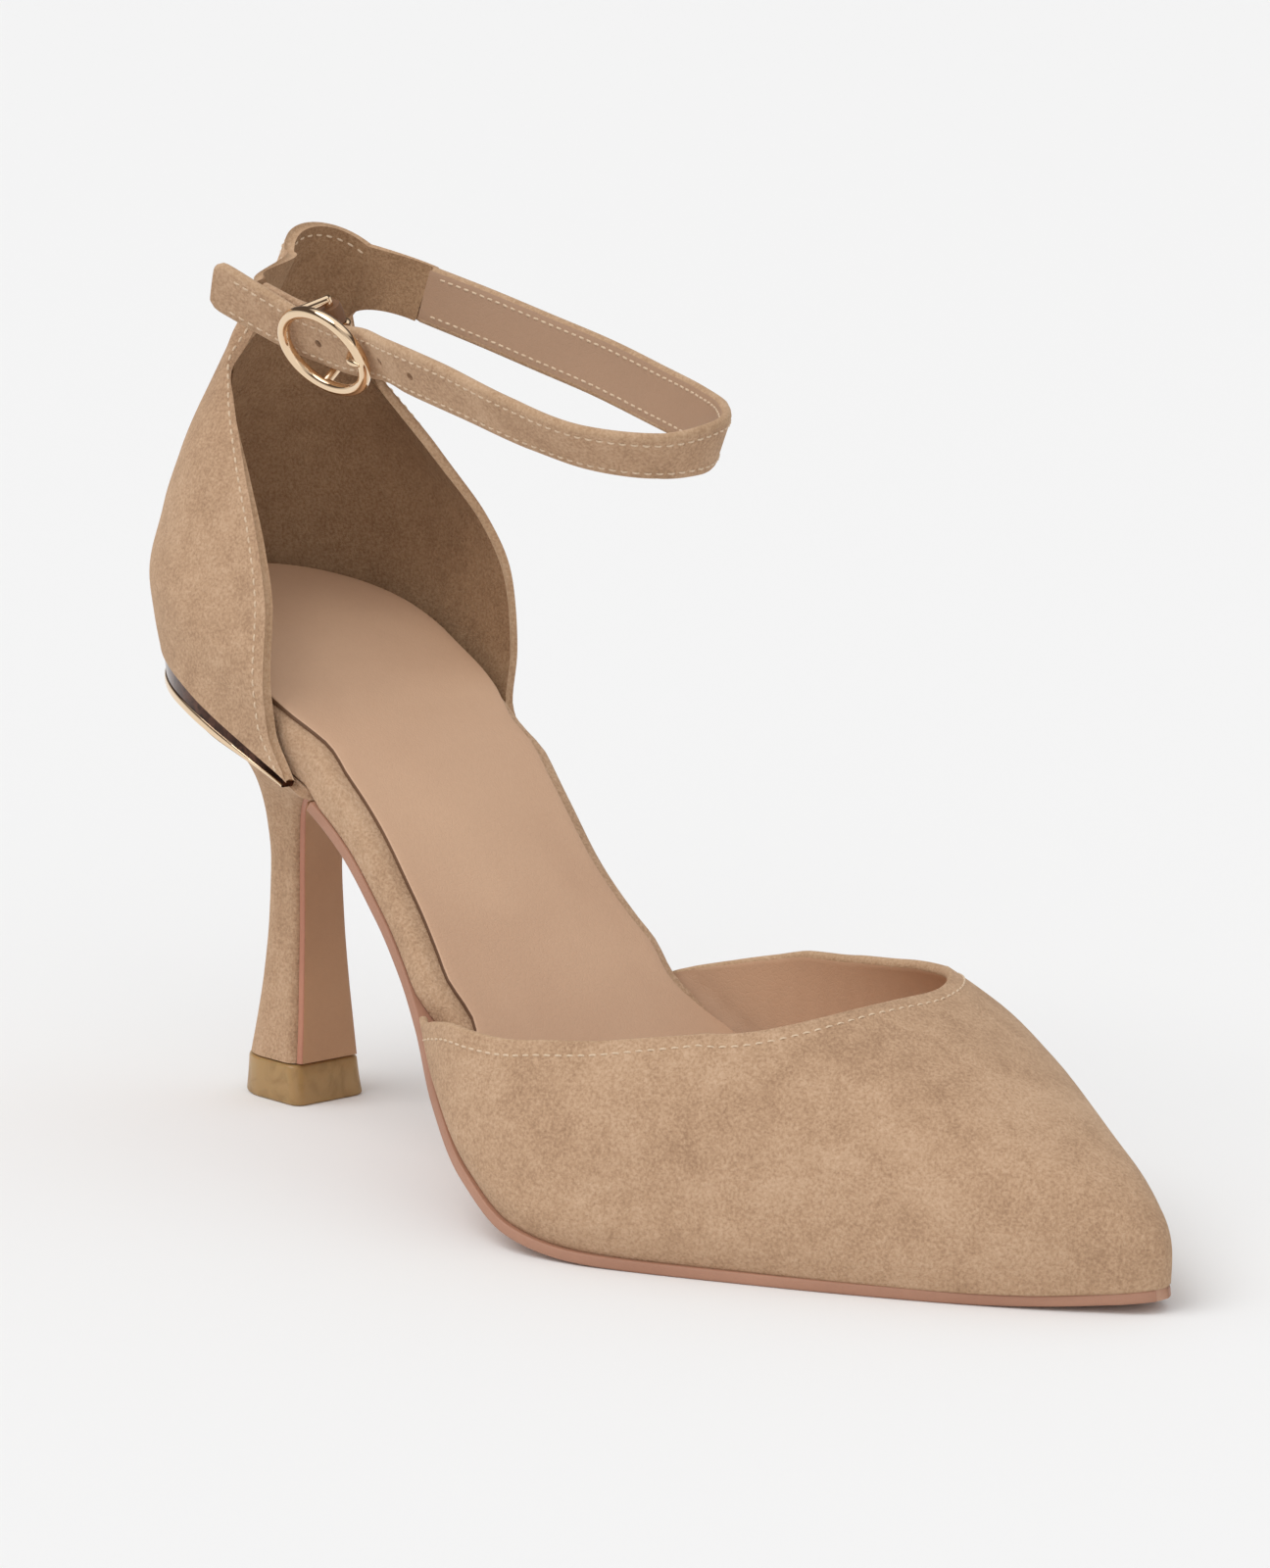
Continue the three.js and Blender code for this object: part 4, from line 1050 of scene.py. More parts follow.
def inset_path(
    lines: np.ndarray, normals: np.ndarray, distance: float
) -> tuple[np.ndarray, np.ndarray]:
    """Returns the points a distance along each line from its start, and their normals.

    Args:
        lines: Lines of points, each from its start.
        normals: Normals at those points.
        distance: The distance.

    Returns:
        The points and their normals.
    """
    steps = np.linalg.norm(np.diff(lines, axis=1), axis=2)
    length = np.concatenate([np.zeros((len(lines), 1)), np.cumsum(steps, axis=1)], axis=1)
    path, normal = [], []
    for line, row, far in zip(lines, normals, length):
        path.append([np.interp(distance, far, line[:, n]) for n in range(3)])
        normal.append([np.interp(distance, far, row[:, n]) for n in range(3)])
    return np.array(path), unit(np.array(normal))


STITCH_PITCH = 1.9
STITCH_LENGTH = 1.35
STITCH_WIDTH = 0.4
STITCH_RISE = 0.08
STITCH_SINK = 0.22
STITCH_FLAT = 0.85
STITCH_WOBBLE = 0.05
# Places along half a stitch and the share of its width that it has there
STITCH_SPANS = ((-1.0, 0.25), (-0.8, 0.8), (-0.3, 1.0), (0.3, 1.0), (0.8, 0.8), (1.0, 0.25))


def stitches(path: np.ndarray, normals: np.ndarray, seed: int = 0) -> Sheet:
    """Returns a row of thread stitches that lie on a surface along a path.

    Args:
        path: The seam's points.
        normals: The surface's normals there.
        seed: The seed of their small unevenness.

    Returns:
        The row as one sheet.
    """
    rng = np.random.default_rng(seed)
    centre, ahead, normal = resample(path, normals, STITCH_PITCH)
    across = np.cross(normal, ahead)
    turn = np.linspace(0, 2 * math.pi, 6, endpoint=False)
    sheet = None
    for n in range(len(centre)):
        tilt = rng.normal(0, STITCH_WOBBLE)
        way = unit(ahead[n] + across[n] * tilt)
        side = np.cross(normal[n], way)
        rings = []
        for share, round_share in STITCH_SPANS:
            lift = STITCH_RISE - STITCH_SINK * share**2
            middle = centre[n] + way * share * STITCH_LENGTH / 2 + normal[n] * lift
            radius = STITCH_WIDTH / 2 * round_share
            rings.append(
                middle + side * np.cos(turn)[:, None] * radius
                + normal[n] * np.sin(turn)[:, None] * radius * STITCH_FLAT
            )
        piece = loft(np.array(rings))
        if sheet is None:
            sheet = piece
        else:
            shift = len(sheet.vertices)
            sheet.vertices = np.vstack([sheet.vertices, piece.vertices])
            sheet.faces += [tuple(v + shift for v in face) for face in piece.faces]
            sheet.finish += piece.finish
    return sheet


# Finishes


class Finish(Enum):
    """Finishes of the shoe's surfaces."""

    SUEDE = "sand suede"
    LINING_SUEDE = "lining suede"
    RAW_EDGE = "cut suede edge"
    LEATHER = "smooth lining leather"
    STRAP_LINING = "strap lining leather"
    SOCK_EDGE = "cut edge of the sock"
    SOLE_EDGE = "outsole edge"
    SOLE_FACE = "outsole underside"
    BREAST = "breast leather"
    BREAST_EDGE = "breast edge paint"
    BILLET = "billet leather"
    RUBBER = "amber rubber"
    GOLD = "pale gold mirror"
    BAND_WALL = "dark side of the seat band"
    THREAD = "cream thread"


def colour(red: int, green: int, blue: int) -> tuple[float, float, float, float]:
    """Returns a linear colour from red, green and blue as a screen shows them, 0 to 255.

    Args:
        red: Red.
        green: Green.
        blue: Blue.

    Returns:
        The linear colour with full alpha.
    """
    shown = (red / 255, green / 255, blue / 255)
    line = [v / 12.92 if v <= 0.04045 else ((v + 0.055) / 1.055) ** 2.4 for v in shown]
    return (*line, 1.0)


class Nodes:
    """Makes and joins the nodes of one tree."""

    def __init__(self, tree: bpy.types.NodeTree) -> None:
        """Keeps the tree."""
        self.tree = tree

    def join(self, value: Input, socket: bpy.types.NodeSocket) -> None:
        """Joins an output to a socket, or sets the socket to a value."""
        if isinstance(value, bpy.types.NodeSocket):
            self.tree.links.new(value, socket)
        else:
            socket.default_value = value

    def fill(self, node: bpy.types.Node, values: dict[str, Input]) -> None:
        """Joins or sets a node's inputs by their names."""
        for name, value in values.items():
            self.join(value, node.inputs[name])

    def new(
        self, kind: str, inputs: Optional[dict[str, Input]] = None, **settings
    ) -> bpy.types.Node:
        """Makes a node.

        Args:
            kind: The node's type.
            inputs: Outputs to join or values to set, by the inputs' names.
            **settings: The node's own properties.

        Returns:
            The new node.
        """
        node = self.tree.nodes.new(kind)
        for name, value in settings.items():
            setattr(node, name, value)
        self.fill(node, inputs or {})
        return node

    def place(self) -> bpy.types.NodeSocket:
        """Returns the place on the object, in metres."""
        return self.new("ShaderNodeTexCoord").outputs["Object"]

    def noise(
        self,
        vector: Input,
        scale: float,
        detail: float,
        rough: float = 0.5,
        distortion: float = 0.0,
    ) -> bpy.types.NodeSocket:
        """Makes a noise texture.

        Args:
            vector: Where the noise is read.
            scale: How many features there are to a metre.
            detail: How many finer layers it has.
            rough: How strong the finer layers are.
            distortion: How far it is swirled.

        Returns:
            The noise's value.
        """
        return self.new("ShaderNodeTexNoise", {
            "Vector": vector, "Scale": scale, "Detail": detail,
            "Roughness": rough, "Distortion": distortion,
        }).outputs["Fac"]

    def math(self, kind: str, a: Input, b: Input = 0.0, c: Input = 0.0) -> bpy.types.NodeSocket:
        """Makes a math node.

        Args:
            kind: The operation.
            a: Its first value.
            b: Its second value.
            c: Its third value.

        Returns:
            The result.
        """
        node = self.new("ShaderNodeMath", operation=kind)
        for socket, value in zip(node.inputs, (a, b, c)):
            self.join(value, socket)
        return node.outputs[0]

    def stretch(self, value: Input, low: float, high: float) -> bpy.types.NodeSocket:
        """Returns a value with the span from low to high drawn out to 0 and 1."""
        node = self.new("ShaderNodeMapRange", {"Value": value, "From Min": low, "From Max": high})
        return node.outputs["Result"]

    def mix(self, share: Input, a: Input, b: Input) -> bpy.types.NodeSocket:
        """Mixes two colours.

        Args:
            share: How much of the second colour there is.
            a: The first colour.
            b: The second colour.

        Returns:
            The mixed colour.
        """
        node = self.new("ShaderNodeMix", data_type="RGBA", blend_type="MIX")
        for index, value in ((0, share), (6, a), (7, b)):
            self.join(value, node.inputs[index])
        return node.outputs[2]

    def bump(self, shader: bpy.types.Node, height: Input, strength: float, distance: float) -> None:
        """Gives a shader's normal a relief.

        Args:
            shader: The shader.
            height: The relief's height, from 0 to 1.
            strength: How much of the relief shows.
            distance: How deep it is, in metres.
        """
        node = self.new("ShaderNodeBump", {
            "Height": height, "Strength": strength, "Distance": distance,
        })
        self.join(node.outputs["Normal"], shader.inputs["Normal"])


def new_group(
    name: str, inputs: Sequence[tuple], outputs: Sequence[tuple]
) -> tuple[bpy.types.NodeTree, Nodes, bpy.types.Node, bpy.types.Node]:
    """Returns a new shader node group with its inside's input and output nodes.

    Args:
        name: The group's name.
        inputs: Names, socket types and values of what goes in.
        outputs: Names and socket types of what comes out.

    Returns:
        The group, its nodes, the input node and the output node.
    """
    group = bpy.data.node_groups.new(name, "ShaderNodeTree")
    for label, kind, value in inputs:
        socket = group.interface.new_socket(label, in_out="INPUT", socket_type=kind)
        socket.default_value = value
    for label, kind in outputs:
        group.interface.new_socket(label, in_out="OUTPUT", socket_type=kind)
    nodes = Nodes(group)
    return group, nodes, nodes.new("NodeGroupInput"), nodes.new("NodeGroupOutput")


COLOUR, VALUE = "NodeSocketColor", "NodeSocketFloat"


def nap_group() -> bpy.types.NodeTree:
    """Returns the group that draws suede: brushed patches, mottling and a short nap."""
    group, nodes, start, end = new_group(
        "brushed nap",
        [("Dark", COLOUR, colour(140, 115, 90)), ("Base", COLOUR, colour(176, 150, 122)),
         ("Light", COLOUR, colour(196, 171, 142))],
        [("Colour", COLOUR), ("Height", VALUE)],
    )
    where = nodes.place()
    patches = nodes.noise(where, scale=40, detail=3, distortion=0.8)
    mottle = nodes.noise(where, scale=210, detail=4, rough=0.6, distortion=0.4)
    grain = nodes.noise(where, scale=1900, detail=3, rough=0.65)
    fibre = nodes.noise(where, scale=4600, detail=2, rough=0.6)
    patches = nodes.stretch(patches, 0.25, 0.75)
    mottle = nodes.stretch(mottle, 0.28, 0.72)
    grain = nodes.stretch(grain, 0.30, 0.70)
    patch_share, mottle_share, grain_share = 0.26, 0.24, 0.50
    total = nodes.math(
        "MULTIPLY_ADD", patches, patch_share, nodes.math("MULTIPLY", mottle, mottle_share)
    )
    total = nodes.math("MULTIPLY_ADD", grain, grain_share, total)
    low = nodes.mix(nodes.stretch(total, 0.18, 0.52), start.outputs["Dark"], start.outputs["Base"])
    tone = nodes.mix(nodes.stretch(total, 0.50, 0.86), low, start.outputs["Light"])
    grain_rise, fibre_rise, mottle_rise = 0.6, 0.35, 0.35
    height = nodes.math(
        "MULTIPLY_ADD", grain, grain_rise, nodes.math("MULTIPLY", fibre, fibre_rise)
    )
    height = nodes.math("MULTIPLY_ADD", mottle, mottle_rise, height)
    nodes.fill(end, {"Colour": tone, "Height": height})
    return group


def hide_group() -> bpy.types.NodeTree:
    """Returns the group that draws smooth leather: soft clouding, pores and fine creases."""
    group, nodes, start, end = new_group(
        "smooth hide",
        [("Base", COLOUR, colour(203, 168, 137)), ("Deep", COLOUR, colour(178, 142, 112))],
        [("Colour", COLOUR), ("Height", VALUE), ("Roughness", VALUE)],
    )
    where = nodes.place()
    clouds = nodes.noise(where, scale=26, detail=3, distortion=0.4)
    clouds = nodes.stretch(clouds, 0.32, 0.70)
    fine = nodes.noise(where, scale=900, detail=4, rough=0.6)
    creases = nodes.new(
        "ShaderNodeTexVoronoi", {"Vector": where, "Scale": 1100.0}, feature="DISTANCE_TO_EDGE"
    )
    pores = nodes.stretch(creases.outputs["Distance"], 0.0, 0.12)
    share = nodes.math("MULTIPLY_ADD", clouds, 0.6, nodes.math("MULTIPLY", fine, 0.3))
    height = nodes.math("MULTIPLY_ADD", pores, 0.5, nodes.math("MULTIPLY", fine, 0.5))
    dull, polish = 0.56, -0.12
    nodes.fill(end, {
        "Colour": nodes.mix(share, start.outputs["Deep"], start.outputs["Base"]),
        "Height": height,
        "Roughness": nodes.math("MULTIPLY_ADD", clouds, polish, dull),
    })
    return group


def smudge_group() -> bpy.types.NodeTree:
    """Returns the group that dulls polished metal and rubber here and there."""
    group, nodes, start, end = new_group(
        "handling marks",
        [("Clean", VALUE, 0.08), ("Dull", VALUE, 0.2)],
        [("Roughness", VALUE), ("Height", VALUE), ("Mask", VALUE)],
    )
    where = nodes.place()
    marks = nodes.noise(where, scale=190, detail=4, rough=0.6, distortion=1.2)
    mask = nodes.stretch(marks, 0.45, 0.72)
    span = nodes.math("SUBTRACT", start.outputs["Dull"], start.outputs["Clean"])
    nodes.fill(end, {
        "Roughness": nodes.math("MULTIPLY_ADD", mask, span, start.outputs["Clean"]),
        "Height": nodes.noise(where, scale=700, detail=2),
        "Mask": mask,
    })
    return group


@dataclass(frozen=True)
class Suede:
    """Brushed suede in three tones, from deep in its nap to its tips."""

    dark: Tone
    base: Tone
    light: Tone
    strength: float = 0.55
    relief: float = 0.00035
    roughness: float = 0.93
    gloss: float = 0.18
    sheen: float = 0.22
    sheen_roughness: float = 0.45
    sheen_tone: Tone = (236, 214, 186)

    def dress(self, shop: "Workshop", nodes: Nodes, shader: bpy.types.Node) -> None:
        """Gives a shader this suede.

        Args:
            shop: The workshop with the shared groups.
            nodes: The material's nodes.
            shader: The material's shader.
        """
        group = nodes.new("ShaderNodeGroup", node_tree=shop.nap)
        nodes.fill(group, {
            "Dark": colour(*self.dark), "Base": colour(*self.base), "Light": colour(*self.light),
        })
        nodes.bump(shader, group.outputs["Height"], self.strength, self.relief)
        nodes.fill(shader, {
            "Base Color": group.outputs["Colour"],
            "Roughness": self.roughness,
            "Specular IOR Level": self.gloss,
            "Sheen Weight": self.sheen,
            "Sheen Roughness": self.sheen_roughness,
            "Sheen Tint": colour(*self.sheen_tone),
        })


@dataclass(frozen=True)
class Hide:
    """Smooth leather in two tones."""

    base: Tone
    deep: Tone
    strength: float = 0.25
    relief: float = 0.00015
    gloss: float = 0.4

    def dress(self, shop: "Workshop", nodes: Nodes, shader: bpy.types.Node) -> None:
        """Gives a shader this leather.

        Args:
            shop: The workshop with the shared groups.
            nodes: The material's nodes.
            shader: The material's shader.
        """
        group = nodes.new("ShaderNodeGroup", node_tree=shop.hide)
        nodes.fill(group, {"Base": colour(*self.base), "Deep": colour(*self.deep)})
        nodes.bump(shader, group.outputs["Height"], self.strength, self.relief)
        nodes.fill(shader, {
            "Base Color": group.outputs["Colour"],
            "Roughness": group.outputs["Roughness"],
            "Specular IOR Level": self.gloss,
        })


@dataclass(frozen=True)
class Mirror:
    """Polished metal with faint handling marks."""

    tone: Tone
    clean: float = 0.06
    dull: float = 0.16

    def dress(self, shop: "Workshop", nodes: Nodes, shader: bpy.types.Node) -> None:
        """Gives a shader this metal.

        Args:
            shop: The workshop with the shared groups.
            nodes: The material's nodes.
            shader: The material's shader.
        """
        group = nodes.new("ShaderNodeGroup", node_tree=shop.smudge)
        nodes.fill(group, {"Clean": self.clean, "Dull": self.dull})
        nodes.fill(shader, {
            "Base Color": colour(*self.tone),
            "Metallic": 1.0,
            "Roughness": group.outputs["Roughness"],
        })


@dataclass(frozen=True)
class BandWallPaintedReflection:
    """Side of the seat band in painted reflection: a dark, streaky painted reflection, and a paler
    painted reflection round the back of the seat.
    """

    # dark and streak are the painted dark reflection, back is the painted pale reflection
    dark: Tone = (48, 34, 28)
    reflection_streak: Tone = (96, 66, 54)
    back: Tone = (206, 186, 148)
    pale_reflection_end: float = -0.1075
    dark_reflection_start: float = -0.1005
    metal: float = 0.9
    roughness: float = 0.12

    def dress(self, shop: "Workshop", nodes: Nodes, shader: bpy.types.Node) -> None:
        """Gives a shader this metal with its painted reflections.

        Args:
            shop: The workshop with the shared groups.
            nodes: The material's nodes.
            shader: The material's shader.
        """
        where = nodes.place()
        along = nodes.new("ShaderNodeSeparateXYZ", {"Vector": where}).outputs["X"]
        reflection_streaks = nodes.noise(where, scale=420, detail=3, rough=0.6, distortion=1.0)
        # deep is the painted dark, streaky reflection
        deep = nodes.mix(
            nodes.stretch(reflection_streaks, 0.35, 0.65), colour(*self.dark), colour(*self.reflection_streak)
        )
        # share runs from the painted pale reflection at the seat's back to the painted dark one
        share = nodes.stretch(along, self.pale_reflection_end, self.dark_reflection_start)
        nodes.fill(shader, {
            "Base Color": nodes.mix(share, colour(*self.back), deep),
            "Metallic": self.metal,
            "Roughness": self.roughness,
        })


@dataclass(frozen=True)
class Rubber:
    """Amber rubber with scuffed patches."""

    base: Tone = (166, 132, 84)
    scuffed: Tone = (146, 114, 70)
    clean: float = 0.34
    dull: float = 0.55
    strength: float = 0.2
    relief: float = 0.0002
    glow: float = 0.15
    glow_depth: float = 0.002

    def dress(self, shop: "Workshop", nodes: Nodes, shader: bpy.types.Node) -> None:
        """Gives a shader this rubber.

        Args:
            shop: The workshop with the shared groups.
            nodes: The material's nodes.
            shader: The material's shader.
        """
        group = nodes.new("ShaderNodeGroup", node_tree=shop.smudge)
        nodes.fill(group, {"Clean": self.clean, "Dull": self.dull})
        nodes.bump(shader, group.outputs["Height"], self.strength, self.relief)
        nodes.fill(shader, {
            "Base Color": nodes.mix(
                group.outputs["Mask"], colour(*self.base), colour(*self.scuffed)
            ),
            "Roughness": group.outputs["Roughness"],
            "Subsurface Weight": self.glow,
            "Subsurface Scale": self.glow_depth,
        })


@dataclass(frozen=True)
class Thread:
    """Twisted sewing thread in two tones."""

    base: Tone = (202, 175, 145)
    light: Tone = (220, 196, 168)
    strength: float = 0.4
    relief: float = 0.0001
    roughness: float = 0.6

    def dress(self, shop: "Workshop", nodes: Nodes, shader: bpy.types.Node) -> None:
        """Gives a shader this thread.

        Args:
            shop: The workshop with the shared groups.
            nodes: The material's nodes.
            shader: The material's shader.
        """
        twist = nodes.noise(nodes.place(), scale=2600, detail=2)
        nodes.bump(shader, twist, self.strength, self.relief)
        share = nodes.stretch(twist, 0.3, 0.7)
        nodes.fill(shader, {
            "Base Color": nodes.mix(share, colour(*self.base), colour(*self.light)),
            "Roughness": self.roughness,
        })


RECIPES = {
    Finish.SUEDE: Suede((160, 127, 100), (186, 152, 122), (205, 173, 144)),
    # Lining suede of the counter, its tones darkened with painted shade of the cup's inside
    Finish.LINING_SUEDE: Suede((130, 99, 72), (154, 121, 91), (173, 141, 109)),
    Finish.RAW_EDGE: Suede((168, 134, 104), (188, 155, 124), (204, 173, 143)),
    Finish.LEATHER: Hide((213, 176, 145), (195, 157, 128)),
    Finish.STRAP_LINING: Hide((178, 144, 118), (160, 128, 103)),
    # The sock's cut edge, coloured dark as painted seam shade between sock and footbed
    Finish.SOCK_EDGE: Hide((128, 96, 72), (96, 68, 48)),
    Finish.SOLE_EDGE: Hide((186, 140, 116), (158, 114, 92)),
    Finish.SOLE_FACE: Hide((205, 164, 138), (180, 136, 112)),
    Finish.BREAST: Hide((190, 148, 111), (170, 129, 96)),
    Finish.BREAST_EDGE: Hide((196, 138, 112), (166, 110, 88)),
    # Orange-brown leather of the billet's eye, darkened with painted shade under the ring
    Finish.BILLET: Hide((132, 92, 62), (100, 68, 44)),
    Finish.RUBBER: Rubber(),
    Finish.GOLD: Mirror((240, 212, 178)),
    # The seat band's wall: painted dark reflection, with a painted pale reflection at the back
    Finish.BAND_WALL: BandWallPaintedReflection(),
    Finish.THREAD: Thread(),
}


class Workshop:
    """Makes each finish's material once."""

    def __init__(self) -> None:
        """Makes the shared groups."""
        self.nap = nap_group()
        self.hide = hide_group()
        self.smudge = smudge_group()
        self.made: dict[Finish, bpy.types.Material] = {}

    def material(self, finish: Finish) -> bpy.types.Material:
        """Returns the material of a finish, which is made when it is first asked for.

        Args:
            finish: The finish.

        Returns:
            Its material.
        """
        if finish not in self.made:
            material = bpy.data.materials.new(finish.value.replace(" ", "_"))
            material.use_nodes = True
            shader = material.node_tree.nodes["Principled BSDF"]
            RECIPES[finish].dress(self, Nodes(material.node_tree), shader)
            self.made[finish] = material
        return self.made[finish]


@dataclass
class Shoe:
    """The shoe's place in the row frame and its workshop of finishes."""

    workshop: Workshop
    shift: np.ndarray

    @classmethod
    def on_frame(cls) -> "Shoe":
        """Returns the shoe placed so that its top lift lies where the frame has it."""
        low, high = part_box("top_lift")
        back = LIFT_FOOT[1]
        middle = HEEL_SIDE * LIFT_SIDE
        return cls(Workshop(), np.array([
            low[0] / MM - back, (low[1] + high[1]) / 2 / MM - middle, 0.0,
        ]))

    def piece(
        self,
        name: str,
        sheet: Sheet,
        finishes: Sequence[Finish],
        nodes: Sequence[str] = (),
        slot: str = "",
        sharp: float = 60.0,
    ) -> bpy.types.Object:
        """Makes one piece of the scene.

        Args:
            name: The piece's name.
            sheet: Its vertices and faces in the heel frame, in millimetres.
            finishes: Its finishes, in the order of the sheet's finish numbers.
            nodes: CAD nodes that it stands for.
            slot: The record's material slot for the piece; not used.
            sharp: The angle in degrees past which an edge stays sharp.

        Returns:
            The new object.
        """
        mesh = bpy.data.meshes.new(name)
        vertices = (sheet.vertices + self.shift) * MM
        mesh.from_pydata(vertices.tolist(), [], sheet.faces)
        for finish in finishes:
            mesh.materials.append(self.workshop.material(finish))
        if sheet.finish:
            mesh.polygons.foreach_set("material_index", np.array(sheet.finish, dtype=np.int32))
        mesh.validate()
        mesh.update()
        mesh.shade_smooth()
        mesh.set_sharp_from_angle(angle=math.radians(sharp))
        obj = bpy.data.objects.new(name, mesh)
        bpy.context.scene.collection.objects.link(obj)
        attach(obj, ROOT)
        if nodes:
            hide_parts(*nodes)
        LOG.info("%s: %d vertices, %d faces", name, len(sheet.vertices), len(sheet.faces))
        return obj


@dataclass
class Sole:
    """Outsole, footbed and sock lining."""

    shoe: Shoe
    rings: int = 190                 # rings along the footbed and the sock
    outsole_rings: int = 170
    outsole_points: int = 9          # points across the outsole, above and below
    footbed_points: int = 15
    sock_points: int = 25
    tip_gap: float = 0.25            # outsole's front end behind the toe tip
    outsole_inset: float = 0.1       # its side behind the bottom's outline
    lower_round: float = 0.45
    upper_round: float = 0.4
    footbed_round: float = 2.2
    sock_round: float = 0.35
    sock_swell: float = 0.05         # how far the sock's edge stands out half way up
    contact: float = 0.02            # gap between layers that lie on each other

    def build(self) -> None:
        """Makes the three pieces."""
        self.outsole()
        self.footbed()
        self.sock()

    def corner(
        self, inset: np.ndarray, off: np.ndarray, radius: float, rising: bool, steps: int = 4
    ) -> Profile:
        """Returns a rounded corner of a profile, from its side to its face or back.

        Args:
            inset: How far the side stands back.
            off: The face's height off the bottom line.
            radius: The corner's radius.
            rising: True from a side to the face above it, False from the face below to the side.
            steps: How many points it has.

        Returns:
            Pairs of inset and height.
        """
        rows = []
        for turn in np.linspace(0, math.pi / 2, steps):
            angle = turn if rising else math.pi / 2 - turn
            sign = 1 if rising else -1
            rows.append((
                inset + radius * (1 - math.cos(angle)),
                off + sign * radius * (math.sin(angle) - 1),
            ))
        return rows

    def outsole(self) -> None:
        """Makes the thin leather outsole with its painted edge."""
        stations = stations_between(
            SEAT_FRONT * SHOE_LENGTH, SHOE_LENGTH - self.tip_gap, self.outsole_rings
        )
        x = station_x(stations)
        zero = np.zeros_like(x)
        inset = zero + self.outsole_inset
        profile = self.corner(inset, zero - OUTSOLE, self.lower_round, rising=False)
        profile += self.corner(inset, zero - self.contact, self.upper_round, rising=True)
        grid = plank(stations, profile, self.outsole_points)
        under = 2 * len(profile) + self.outsole_points - 1

        def face(_: int, j: int) -> int:
            """Returns 1 for faces of the underside and 0 for the edge and the top."""
            return 1 if j >= under or j < 1 else 0

        self.shoe.piece(
            "outsole_leather", loft(grid, finish=face), [Finish.SOLE_EDGE, Finish.SOLE_FACE],
            ["outsole"], "outsole",
        )

    def footbed(self) -> None:
        """Makes the suede wrapped footbed, whose rim shows at the waist."""
        stations = stations_between(SEAT_BACK + FOOTBED_EDGE, SHOE_LENGTH - TOE_ROOM, self.rings)
        x = station_x(stations)
        inset, thick = footbed_inset(x), footbed_thick(x)
        zero = np.zeros_like(x)
        wrap = ((0.35, self.contact), (0.1, 0.4), (0.0, 1.0))
        profile = [(inset + back, zero + off) for back, off in wrap]
        profile += self.corner(inset, thick, self.footbed_round, rising=True, steps=6)
        grid = plank(stations, profile, self.footbed_points)
        self.shoe.piece("footbed_wrap", loft(grid), [Finish.SUEDE], ["footbed"], "footbed")

    def sock(self) -> None:
        """Makes the smooth sock lining with its cut edge, dark with painted seam shade."""
        stations = stations_between(
            SEAT_BACK + SOCK_GAP, SHOE_LENGTH - TOE_ROOM - SOCK_RIM, self.rings
        )
        x = station_x(stations)
        in_counter = 1 - smooth(x, COUNTER_FRONT - SOCK_FADE, COUNTER_FRONT + WALL_FADE)
        in_vamp = smooth(x, VAMP_START, VAMP_START + SOCK_FADE)
        bare = (1 - in_counter) * (1 - in_vamp)
        inset = footbed_inset(x) + SOCK_GAP + bare * (SOCK_RIM - SOCK_GAP)
        base = footbed_thick(x)
        profile = [(inset, base + self.contact), (inset - self.sock_swell, base + SOCK * 0.5)]
        profile += self.corner(inset, base + SOCK, self.sock_round, rising=True)
        grid = plank(stations, profile, self.sock_points)
        end = 2 * len(profile) + self.sock_points

        def face(_: int, j: int) -> int:
            """Returns 1 for faces of the cut edge, which take the painted seam shade, and 0 for the
            rest.
            """
            return 1 if j < 3 or end - 4 <= j < end else 0

        self.shoe.piece(
            "sock_leather", loft(grid, finish=face), [Finish.LEATHER, Finish.SOCK_EDGE],
            ["sock_lining"], "sock_lining",
        )


